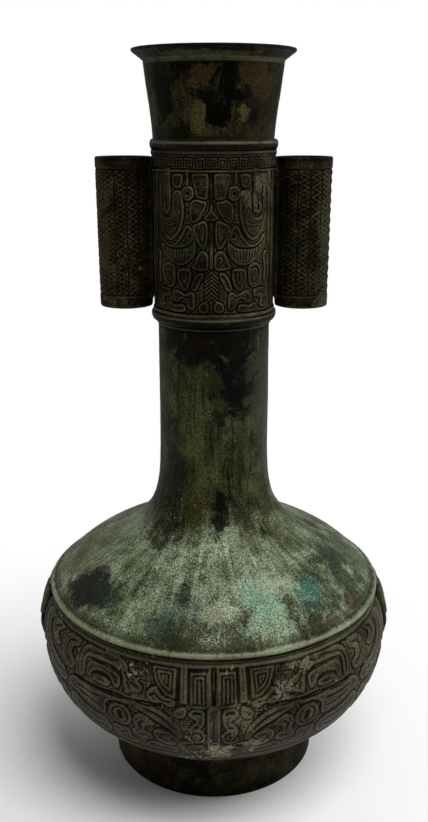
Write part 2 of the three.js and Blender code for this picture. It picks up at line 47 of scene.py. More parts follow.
# Levels and radii that the pieces share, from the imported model
levels = {
    "foot": 30.6, "equator": 78.8, "ridge": 104.5, "neck": 190.0, "lowerCollar": 251.3, "sleeve": 256.6,
    "upperCollar": 334.4, "trumpet": 339.6, "mouth": 380.6,
}
wall = {"bowlCentre": 50.0, "bowlReach": 45.5, "bowlCrown": 47.0, "bowlSeat": 58.0, "neck": 28.5, "sleeve": 31.0}


print("shared tools")


def ease(low, high, value):
    t = np.clip((value - low) / (high - low), 0, 1)
    return t * t * (3 - 2 * t)


def arcPoints(centre, radii, fromAngle, toAngle, steps):
    angles = np.radians(np.linspace(fromAngle, toAngle, steps + 1))
    return [(centre[0] + radii[0] * math.cos(a), centre[1] + radii[1] * math.sin(a)) for a in angles]


def curvePoints(a, b, c, d, steps):
    a, b, c, d = (np.array(p, float) for p in (a, b, c, d))
    t = np.linspace(0, 1, steps + 1)[:, None]
    return [tuple(p) for p in (1 - t) ** 3 * a + 3 * (1 - t) ** 2 * t * b + 3 * (1 - t) * t * t * c + t ** 3 * d]


# The same section with its long edges cut into short ones
def refined(section, spacing):
    points = []
    for start, end in zip(section, section[1:] + section[:1]):
        cuts = max(1, round(math.dist(start, end) / spacing))
        points += [tuple(np.array(start) + (np.array(end) - start) * i / cuts) for i in range(cuts)]
    return points


# A closed section swept round the vase's axis: one short spin doubled a few times is far quicker than a long spin
def turned(section, steps, fromAngle=0, sweep=360, doublings=4):
    bm = bmesh.new()
    start = math.radians(fromAngle)
    verts = [bm.verts.new((r * mm * math.cos(start), r * mm * math.sin(start), z * mm)) for r, z in section]
    edges = [bm.edges.new(pair) for pair in zip(verts, verts[1:] + verts[:1])]
    parts = 2 ** doublings
    turn = math.radians(sweep / parts)
    bmesh.ops.spin(bm, geom=verts + edges, cent=(0, 0, 0), axis=(0, 0, 1), angle=turn, steps=steps // parts,
                   use_merge=False, use_duplicate=False)
    for _ in range(doublings):
        copied = bmesh.ops.duplicate(bm, geom=bm.verts[:] + bm.edges[:] + bm.faces[:])["geom"]
        bmesh.ops.rotate(bm, verts=[part for part in copied if isinstance(part, bmesh.types.BMVert)], cent=(0, 0, 0),
                         matrix=mathutils.Matrix.Rotation(turn, 3, "Z"))
        turn *= 2
    bmesh.ops.remove_doubles(bm, verts=bm.verts, dist=mergeDistance)
    if sweep != 360:
        bmesh.ops.holes_fill(bm, edges=[e for e in bm.edges if e.is_boundary], sides=0)
    bmesh.ops.recalc_face_normals(bm, faces=bm.faces)
    return bm


def toMesh(bm, name):
    mesh = bpy.data.meshes.new(name)
    bm.to_mesh(mesh)
    bm.free()
    mesh.shade_smooth()
    mesh.set_sharp_from_angle(angle=sharpAngle)
    return mesh


# Vertex places of a mesh in millimetres, read and written as one array
def readPlaces(mesh):
    places = np.empty(len(mesh.vertices) * 3, np.float32)
    mesh.vertices.foreach_get("co", places)
    return places.reshape(-1, 3).astype(float) / mm


def writePlaces(mesh, places):
    mesh.vertices.foreach_set("co", (places * mm).astype(np.float32).ravel())
    mesh.update()


# Smooth seeded noise between 0 and 1 on a lattice
def cloudNoise(places, size, seed):
    count = 32
    lattice = np.random.default_rng(seed).random((count, count, count))
    cell = places / size
    base = np.floor(cell).astype(int)
    part = ease(0, 1, cell - base)
    value = np.zeros(len(places))
    for corner in np.ndindex(2, 2, 2):
        weight = np.prod(np.where(corner, part, 1 - part), axis=1)
        i, j, k = ((base + corner) % count).T
        value += weight * lattice[i, j, k]
    return value


# How hollow each vertex lies, for darker hollows and for worn crests that also carry a painted highlight
def markHollows(mesh, reach=6, depth=0.12):
    places = readPlaces(mesh)
    ends = np.empty(len(mesh.edges) * 2, np.int32)
    mesh.edges.foreach_get("vertices", ends)
    a, b = ends.reshape(-1, 2).T
    share = np.maximum(np.bincount(a, minlength=len(places)) + np.bincount(b, minlength=len(places)), 1)
    smooth = places.copy()
    for _ in range(reach):
        for axis in range(3):
            column = smooth[:, axis]
            total = np.bincount(a, column[b], len(places)) + np.bincount(b, column[a], len(places))
            smooth[:, axis] = 0.5 * column + 0.5 * total / share
    normals = np.empty(len(places) * 3, np.float32)
    mesh.vertices.foreach_get("normal", normals)
    hollow = np.clip(((smooth - places) * normals.reshape(-1, 3)).sum(1) / depth, -1, 1)
    layer = mesh.attributes.new("hollow", "FLOAT", "POINT")
    layer.data.foreach_set("value", hollow.astype(np.float32))


# A slow seeded push in and out, by its size and its whole reach in millimetres
def wander(places, size, strength, seed):
    return (cloudNoise(places, size, seed) - 0.5) * strength


# Casting unevenness of a wall: a slow wander and a finer roughness
def castSkin(places, slow, fine, seed, sizes=(26.0, 3.2)):
    return wander(places, sizes[0], slow, seed) + wander(places, sizes[1], fine, seed + 1)


# What wear has left of a relief, in patches
def wornAway(places, size, share, edge, seed):
    return 1 - share * ease(*edge, cloudNoise(places, size, seed))


# 1 on the outside of a turned outline, 0 on its inner wall
def outsideOf(outline, inner, outer):
    radii, heights = zip(*outline)
    return lambda radius, z: ease(inner, outer, radius - np.interp(z, heights, radii))


# Relief and casting skin pressed into the outside of a round piece, then its hollows marked
def pressRound(mesh, settings, seed, isOutside, relief=None):
    places = readPlaces(mesh)
    radius = np.hypot(places[:, 0], places[:, 1])
    height = castSkin(places, *settings["skin"], seed)
    if relief:
        height = relief(places) + height
    places[:, :2] *= (1 + height * isOutside(radius, places[:, 2]) / radius)[:, None]
    writePlaces(mesh, places)
    markHollows(mesh, *settings["hollows"])
    return mesh


def addPiece(mesh, material, slot, *nodes):
    piece = bpy.data.objects.new(mesh.name, mesh)
    scene.collection.objects.link(piece)
    mesh.materials.append(material)
    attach(piece, "root")
    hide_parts(*nodes)
    return piece


print("materials")


# A node's output that can be reckoned with: every operation on it adds a Math node to its tree
class Field:
    def __init__(self, output):
        self.output, self.tree = output, output.id_data

    def __add__(self, other):
        return field("Math", {0: self, 1: other}, operation="ADD")

    def __sub__(self, other):
        return field("Math", {0: self, 1: other}, operation="SUBTRACT")

    def __rsub__(self, other):
        return field("Math", {0: other, 1: self}, operation="SUBTRACT")

    def __mul__(self, other):
        return field("Math", {0: self, 1: other}, operation="MULTIPLY")

    def __abs__(self):
        return field("Math", {0: self}, operation="ABSOLUTE")


# A node goes into the tree that its inputs come from
def addNode(kind, inputs, tree=None, **settings):
    tree = tree or next(value.tree for value in inputs.values() if isinstance(value, Field))
    node = tree.nodes.new("ShaderNode" + kind)
    for name, value in settings.items():
        setattr(node, name, value)
    for name, value in inputs.items():
        wire(node.inputs[name], value)
    return node


def wire(socket, value):
    if isinstance(value, Field):
        value.tree.links.new(value.output, socket)
    else:
        socket.default_value = value


def field(kind, inputs, output=0, tree=None, **settings):
    return Field(addNode(kind, inputs, tree, **settings).outputs[output])


# A value round a half as a push up and down
def push(value, strength):
    return (value - 0.5) * strength


def vectorMath(operation, inputs, output=0):
    return field("VectorMath", inputs, output, operation=operation)


def split(vector):
    return [Field(output) for output in addNode("SeparateXYZ", {0: vector}).outputs]


def grey(value):
    return field("CombineColor", {0: value, 1: value, 2: value})


def fade(value, low, high, toLow=0.0, toHigh=1.0):
    inputs = {"Value": value, "From Min": low, "From Max": high, "To Min": toLow, "To Max": toHigh}
    return field("MapRange", inputs, interpolation_type="SMOOTHSTEP")


def mixValues(factor, first, second):
    return field("Mix", {0: factor, 2: first, 3: second}, data_type="FLOAT")


def blend(factor, first, second, mode="MIX"):
    return field("Mix", {0: factor, 6: first, 7: second}, 2, data_type="RGBA", blend_type=mode)


def shifted(vector, place):
    return field("Mapping", {"Vector": vector, "Location": place})


# How fine each noise is, its detail, roughness and distortion, and a shift that keeps them apart
noises = {
    "clouds": (26.0, 5.0, 0.62, 0.9, None), "blotches": (95.0, 6.0, 0.6, 0.4, (3, 1, 2)),
    "runs": (11.0, 3.0, 0.66, 0.35, None), "fineRuns": (17.0, 4.0, 0.7, 0.5, (2, 6, 1)),
    "grain": (1300.0, 3.0, 0.7, 0.0, (2, 2, 7)), "bloomClouds": (48.0, 6.0, 0.6, 0.6, (7, 4, 1)),
    "patchEdge": (85.0, 8.0, 0.7, 0.9, None), "speckCrowd": (30.0, 5.0, 0.65, 0.0, (4, 9, 3)),
    "flecks": (500.0, 3.0, 0.8, 0.4, None), "wornGrain": (330.0, 5.0, 0.74, 0.0, (6, 2, 8)),
    "wornPlaces": (46.0, 5.0, 0.66, 0.5, (1, 5, 2)), "border": (38.0, 7.0, 0.7, 0.6, None),
    "brokenRing": (130.0, 5.0, 0.7, 0.5, None), "fibres": (60.0, 4.0, 0.6, 0.0, None),
}


def noise(vector, name, ownScale=None):
    scale, detail, roughness, distortion, shift = noises[name]
    inputs = {"Vector": shifted(vector, shift) if shift else vector, "Scale": ownScale or scale, "Detail": detail,
              "Roughness": roughness, "Distortion": distortion}
    return field("TexNoise", inputs, "Fac")


def newGroup(name, inputs, outputs):
    tree = bpy.data.node_groups.new(name, "ShaderNodeTree")
    for socketName, kind, value in inputs:
        socket = tree.interface.new_socket(socketName, in_out="INPUT", socket_type="NodeSocket" + kind)
        if value is not None:
            socket.default_value = value
    for socketName, kind in outputs:
        tree.interface.new_socket(socketName, in_out="OUTPUT", socket_type="NodeSocket" + kind)
    given = {output.name: Field(output) for output in tree.nodes.new("NodeGroupInput").outputs if output.name}
    return tree, given, tree.nodes.new("NodeGroupOutput").inputs


def useGroup(group, **inputs):
    return {output.name: Field(output) for output in addNode("Group", inputs, node_tree=group).outputs}


# A colour given as it looks on the screen, 0 to 255
def shade(red, green, blue):
    linear = [((c / 255 + 0.055) / 1.055) ** 2.4 if c > 10 else c / 255 / 12.92 for c in (red, green, blue)]
    return (*linear, 1.0)


patinaLook = {
    "runStretch": 3.4, "cloudShare": 0.5, "grainPush": 0.26, "darkEdge": (0.40, 0.60), "fineRunShare": 0.75,
    "bloomGrain": 0.2, "bloomEdge": (0.38, 0.66), "bloomOver": (0.36, 0.58),
}


# Three colours in clouds, runs and grains, as old patina lies on bronze
def makePatinaGroup():
    p = patinaLook
    tree, given, made = newGroup("agedPatina", [
        ("Vector", "Vector", None), ("Dark", "Color", shade(30, 28, 20)), ("Middle", "Color", shade(60, 60, 44)),
        ("Pale", "Color", shade(110, 115, 92)), ("Scale", "Float", 1.0), ("Run", "Float", 0.3),
        ("Balance", "Float", 0.5), ("Bloom", "Float", 0.5),
    ], [("Color", "Color"), ("Cloud", "Float"), ("Grain", "Float")])
    scaled = vectorMath("SCALE", {0: given["Vector"], "Scale": given["Scale"]})
    x, y, z = split(given["Vector"])
    aroundX, aroundY, _ = split(vectorMath("NORMALIZE", {0: field("CombineXYZ", {0: x, 1: y, 2: 0.0})}))
    down = field("CombineXYZ", {0: aroundX, 1: aroundY, 2: z * p["runStretch"]})
    grain = noise(given["Vector"], "grain")
    withRuns = mixValues(given["Run"], noise(scaled, "blotches"), noise(down, "runs"))
    level = noise(scaled, "clouds") * p["cloudShare"] + withRuns * (1 - p["cloudShare"])
    level = level + push(grain, p["grainPush"]) - (0.5 - given["Balance"])
    colour = blend(fade(level, *p["darkEdge"]), given["Dark"], given["Middle"])
    bloom = mixValues(given["Run"] * p["fineRunShare"], noise(scaled, "bloomClouds"), noise(down, "fineRuns"))
    bloom = bloom + push(grain, p["bloomGrain"]) - (0.5 - given["Bloom"])
    bloomMask = fade(bloom, *p["bloomEdge"]) * fade(level, *p["bloomOver"])
    wire(made["Color"], blend(bloomMask, colour, given["Pale"]))
    wire(made["Cloud"], level)
    wire(made["Grain"], grain)
    return tree


patchLook = {"reach": 5.0, "edge": (1.15, 0.7)}


# A ragged patch round a place on the surface
def makePatchGroup():
    tree, given, made = newGroup("stainAndPaintedLightPatch", [
        ("Vector", "Vector", None), ("Centre", "Vector", None), ("Size", "Vector", (0.02, 0.02, 0.02)),
        ("Ragged", "Float", 0.5),
    ], [("Mask", "Float")])
    away = vectorMath("SUBTRACT", {0: given["Vector"], 1: given["Centre"]})
    distance = vectorMath("LENGTH", {0: vectorMath("DIVIDE", {0: away, 1: given["Size"]})}, "Value")
    offset = push(noise(given["Vector"], "patchEdge"), given["Ragged"] * patchLook["reach"])
    wire(made["Mask"], fade(distance + offset, *patchLook["edge"]))
    return tree


speckLook = {"crowdEdge": (0.42, 0.7), "limits": (0.78, 0.58), "amountShare": 0.2, "edge": (0.0, 0.06)}


# Small mineral grains that sit on the patina
def makeSpeckGroup():
    s = speckLook
    tree, given, made = newGroup("mineralSpecks", [
        ("Vector", "Vector", None), ("Scale", "Float", 500.0), ("Amount", "Float", 0.3),
    ], [("Mask", "Float")])
    limit = fade(noise(given["Vector"], "speckCrowd"), *s["crowdEdge"], *s["limits"])
    level = noise(given["Vector"], "flecks", given["Scale"]) - limit + given["Amount"] * s["amountShare"]
    wire(made["Mask"], fade(level, *s["edge"]))
    return tree


wearAndHighlightLook = {
    "spread": 1.3, "placesEdge": (0.38, 0.6), "leastWear": 0.25, "crestEdge": (0.06, 0.62), "hollowSpread": 0.6,
    "hollowEdge": (0.02, 0.5),
}


# Crests and hollows of a relief, broken up by the metal's grain; the crest mask places worn metal and a painted
# highlight
def makeWearAndHighlightGroup():
    w = wearAndHighlightLook
    tree, given, made = newGroup("reliefWearAndHighlight", [
        ("Vector", "Vector", None), ("Hollow", "Float", 0.0),
    ], [("Crest", "Float"), ("Hollow", "Float")])
    spread = push(noise(given["Vector"], "wornGrain"), w["spread"])
    places = fade(noise(given["Vector"], "wornPlaces"), *w["placesEdge"], w["leastWear"], 1.0)
    wire(made["Crest"], fade(given["Hollow"] * -1.0 + spread, *w["crestEdge"]) * places)
    wire(made["Hollow"], fade(given["Hollow"] + spread * w["hollowSpread"], *w["hollowEdge"]))
    return tree


patinaGroup = makePatinaGroup()
patchGroup = makePatchGroup()
speckGroup = makeSpeckGroup()
wearAndHighlightGroup = makeWearAndHighlightGroup()


# An empty node tree of a material or a world
def startNodes(block):
    block.use_nodes = True
    block.node_tree.nodes.clear()
    return block.node_tree


# What every bronze here starts from: each piece's own look says where it differs
plainBronze = {
    "scale": 1.5, "run": 0.1, "balance": 0.49, "bloom": 0.44, "shift": (0, 0, 0), "grain": 0.6, "hollowDarkening": 0.8,
    "wearAndHighlight": 0.5, "upper": None, "upperWander": 0.09, "patches": [], "rings": [], "ringEdge": 0.4,
    "ringBreaks": (0.3, 0.52, 0.3, 1.0), "speckScale": 620.0, "specks": 0.02, "speckShare": 0.8,
    "grainEdge": (0.34, 0.66), "mattHollow": 0.3, "mattCrest": 0.2, "mattEdge": (0.3, 0.75), "gloss": (0.34, 0.56),
    "grainHeight": 0.5, "cloudHeight": 0.8, "speckHeight": 0.35, "bump": 0.5, "bumpDistance": 0.0006, "metal": 0.15,
    "sheen": 0.05,
}


def makeBronze(name, own):
    look = {**plainBronze, **own}
    material = bpy.data.materials.new(name)
    tree = startNodes(material)
    place = field("TexCoord", {}, "Object", tree)
    level = split(place)[2]
    tones = [shade(*look[tone]) for tone in ("dark", "middle", "pale")]
    if look["upper"]:
        low, high = look["upperFrom"]
        share = fade(level + push(noise(place, "border"), look["upperWander"]), low * mm, high * mm)
        tones = [blend(share, tone, shade(*upper)) for tone, upper in zip(tones, look["upper"])]
    patina = useGroup(patinaGroup, Vector=shifted(place, look["shift"]), Dark=tones[0], Middle=tones[1], Pale=tones[2],
                      Scale=look["scale"], Run=look["run"], Balance=look["balance"], Bloom=look["bloom"])
    colour = patina["Color"]
    # Patches are mostly stains in the patina; some are painted highlights, a painted reflection and painted shade, as
    # each look notes
    for centre, size, ragged, strength, tint in look["patches"]:
        mask = useGroup(patchGroup, Vector=place, Centre=[c * mm for c in centre], Size=[s * mm for s in size],
                        Ragged=ragged)["Mask"]
        colour = blend(mask * strength, colour, shade(*tint))
    grainTone = fade(patina["Grain"], *look["grainEdge"], 1 - look["grain"], 1 + look["grain"])
    colour = blend(1.0, colour, grey(grainTone), "MULTIPLY")
    hollow = field("Attribute", {}, "Fac", tree, attribute_name="hollow")
    wearAndHighlight = useGroup(wearAndHighlightGroup, Vector=place, Hollow=hollow)
    # Hollows of the relief are darkened towards the hollow colour
    colour = blend(wearAndHighlight["Hollow"] * look["hollowDarkening"], colour, shade(*look["hollow"]))
    # Crests take a lighter colour: partly worn metal, partly a painted highlight on the relief's top edges
    colour = blend(wearAndHighlight["Crest"] * look["wearAndHighlight"], colour, shade(*look["crest"]))
    # Bands round the axis at given levels: most are painted highlights on bead tops and painted shade under beads and
    # along rims, a few are darker bands of tone
    for height, half, strength, tint in look["rings"]:
        band = fade(abs(level - height * mm), half * mm, half * look["ringEdge"] * mm)
        breaks = fade(noise(place, "brokenRing"), *look["ringBreaks"])
        colour = blend(band * breaks * strength, colour, shade(*tint))
    specks = useGroup(speckGroup, Vector=place, Scale=look["speckScale"], Amount=look["specks"])["Mask"]
    colour = blend(specks * look["speckShare"], colour, shade(*look["speck"]))
    matt = patina["Cloud"] + wearAndHighlight["Hollow"] * look["mattHollow"] - wearAndHighlight["Crest"] * look["mattCrest"]
    height = patina["Grain"] * look["grainHeight"] + patina["Cloud"] * look["cloudHeight"]
    bump = field("Bump", {"Height": height + specks * look["speckHeight"], "Strength": look["bump"],
                          "Distance": look["bumpDistance"]})
    shader = field("BsdfPrincipled", {
        "Base Color": colour, "Roughness": fade(matt, *look["mattEdge"], *look["gloss"]), "Normal": bump,
        "Metallic": look["metal"], "Specular IOR Level": look["sheen"]})
    addNode("OutputMaterial", {"Surface": shader})
    return material


# Patches on a round wall, each placed by its angle (0 faces the camera, right is positive), radius and level
def spots(*rows):
    placed = []
    for (degrees, radius, level), *rest in rows:
        angle = math.radians(degrees)
        placed.append(((radius * math.sin(angle), -radius * math.cos(angle), level), *rest))
    return placed


print("relief tools")


# A relief is drawn flat on its unrolled wall: across from the middle of the motif, up from the standing face.
# Plates and bands stand up to the wall's own surface, cuts go in, and a moat parts each form from the ground.
def plate(*points, level=0.0, straight=False):
    return {"kind": "plate", "points": points, "level": level, "straight": straight}


def band(width, level, *points, straight=False):
    return {"kind": "band", "width": width, "level": level, "points": points, "straight": straight}


def cut(width, depth, *points, straight=False):
    return {"kind": "cut", "width": width, "depth": depth, "points": points, "straight": straight}


# The same three with straight sides
facet, bar, nick = (functools.partial(stroke, straight=True) for stroke in (plate, band, cut))


def ring(centreU, centreV, radiusU, radiusV=None):
    turns = np.linspace(0, 2 * np.pi, 12, endpoint=False)
    return tuple((centreU + radiusU * np.cos(t), centreV + (radiusV or radiusU) * np.sin(t)) for t in turns)


# A smooth path through the points of a stroke
def smoothPath(points, closed):
    points = np.array(points, float)
    padded = np.concatenate([points[-1:], points, points[:2]] if closed else [points[:1], points, points[-1:]])
    t = np.linspace(0, 1, 6, endpoint=False)[:, None]
    spans = []
    for p0, p1, p2, p3 in zip(padded, padded[1:], padded[2:], padded[3:]):
        spans.append(0.5 * (2 * p1 + (p2 - p0) * t + (2 * p0 - 5 * p1 + 4 * p2 - p3) * t ** 2
                            + (3 * p1 - p0 - 3 * p2 + p3) * t ** 3))
    return np.concatenate(spans + ([] if closed else [points[-1:]]))


def distanceTo(path, u, v, closed):
    ends = np.roll(path, -1, axis=0) if closed else path[1:]
    nearest = np.full(u.shape, 1e9)
    for (startU, startV), (endU, endV) in zip(path, ends):
        du, dv = endU - startU, endV - startV
        t = np.clip(((u - startU) * du + (v - startV) * dv) / (du * du + dv * dv + 1e-12), 0, 1)
        nearest = np.minimum(nearest, (u - startU - t * du) ** 2 + (v - startV - t * dv) ** 2)
    return np.sqrt(nearest)


def isInside(path, u, v):
    inside = np.zeros(u.shape, bool)
    for (startU, startV), (endU, endV) in zip(path, np.roll(path, -1, axis=0)):
        if startV != endV:
            crosses = (startV > v) != (endV > v)
            inside ^= crosses & (u < startU + (v - startV) * (endU - startU) / (endV - startV))
    return inside


# How strokes meet the sheet: distances in millimetres from their edges, the moat's banks in shares of its width
press = {
    "margin": 1.5, "moatBanks": (0.55, 1.15), "fineFrom": (0.5, 1.1), "dishFrom": (0.5, 1.6), "cutBanks": (-0.3, 0.35),
    "turns": 1.5, "spiralLine": (0.3, 0.75),
}


def pressStrokes(strokes, u, v, height, moat):
    placed = []
    for stroke in strokes:
        closed = stroke["kind"] == "plate"
        path = np.array(stroke["points"], float)
        if not stroke["straight"]:
            path = smoothPath(path, closed)
        margin = moat["width"] + press["margin"] + stroke.get("width", 0)
        (lowU, lowV), (highU, highV) = path.min(0) - margin, path.max(0) + margin
        rows = slice(*np.searchsorted(v[:, 0], [lowV, highV]))
        columns = slice(*np.searchsorted(u[0], [lowU, highU]))
        patchU, patchV = u[rows, columns], v[rows, columns]
        if not patchU.size:
            continue
        away = distanceTo(path, patchU, patchV, closed)
        if closed:
            away = np.where(isInside(path, patchU, patchV), -away, away)
        elif stroke["kind"] == "band":
            away = away - stroke["width"] / 2
        placed.append((stroke, (rows, columns), away))
    raised = [part for part in placed if part[0]["kind"] != "cut"]
    cuts = [part for part in placed if part[0]["kind"] == "cut"]
    near, far = (moat["width"] * share for share in press["moatBanks"])
    for stroke, patch, away in raised:
        around = 1 - ease(near, far, away)
        height[patch] = np.minimum(height[patch], height[patch] * (1 - around) - moat["depth"] * around)
    for stroke, patch, away in raised:
        over = 1 - ease(-moat["slope"], moat["slope"], away)
        top = stroke["level"]
        if stroke["kind"] == "plate":
            fine = squareSpirals(u[patch], v[patch], moat["cell"], press["turns"]) * ease(*press["fineFrom"], -away)
            top = top - moat["dish"] * ease(*press["dishFrom"], -away) - moat["fine"] * fine
        height[patch] = height[patch] * (1 - over) + top * over
    inner, outer = press["cutBanks"]
    for stroke, patch, away in cuts:
        half = stroke["width"] / 2
        height[patch] -= stroke["depth"] * (1 - ease(half + inner, half + outer, away))
    return height


# Squared spirals, one to a cell, every other one turned over
def squareSpirals(u, v, cell, turns):
    flip = np.where((np.floor(u / cell) + np.floor(v / cell)) % 2 == 0, 1, -1)
    x = ((u / cell) % 1 - 0.5) * 2 * flip
    y = ((v / cell) % 1 - 0.5) * 2
    coil = np.maximum(np.abs(x), np.abs(y)) * turns + np.arctan2(y, x) / (2 * np.pi)
    return ease(*press["spiralLine"], np.abs((coil % 1) - 0.5) * 2)


# The height of a whole motif on a fine sheet, softened as a casting is
def reliefSheet(strokes, ground, moat, across, low, high, pitch, soften):
    u, v = np.meshgrid(np.arange(0, across, pitch), np.arange(low, high, pitch))
    height = pressStrokes(strokes, u, v, ground(u, v), moat)
    for _ in range(soften):
        for axis in (0, 1):
            height = (np.roll(height, 1, axis) + 2 * height + np.roll(height, -1, axis)) / 4
    return {"height": height, "low": low, "pitch": pitch}


def readSheet(sheet, u, v):
    height, pitch = sheet["height"], sheet["pitch"]
    x = np.clip(u / pitch, 0, height.shape[1] - 1.001)
    y = np.clip((v - sheet["low"]) / pitch, 0, height.shape[0] - 1.001)
    i, j = x.astype(int), y.astype(int)
    dx, dy = x - i, y - j
    lower = height[j, i] * (1 - dx) + height[j, i + 1] * dx
    upper = height[j + 1, i] * (1 - dx) + height[j + 1, i + 1] * dx
    return lower * (1 - dy) + upper * dy


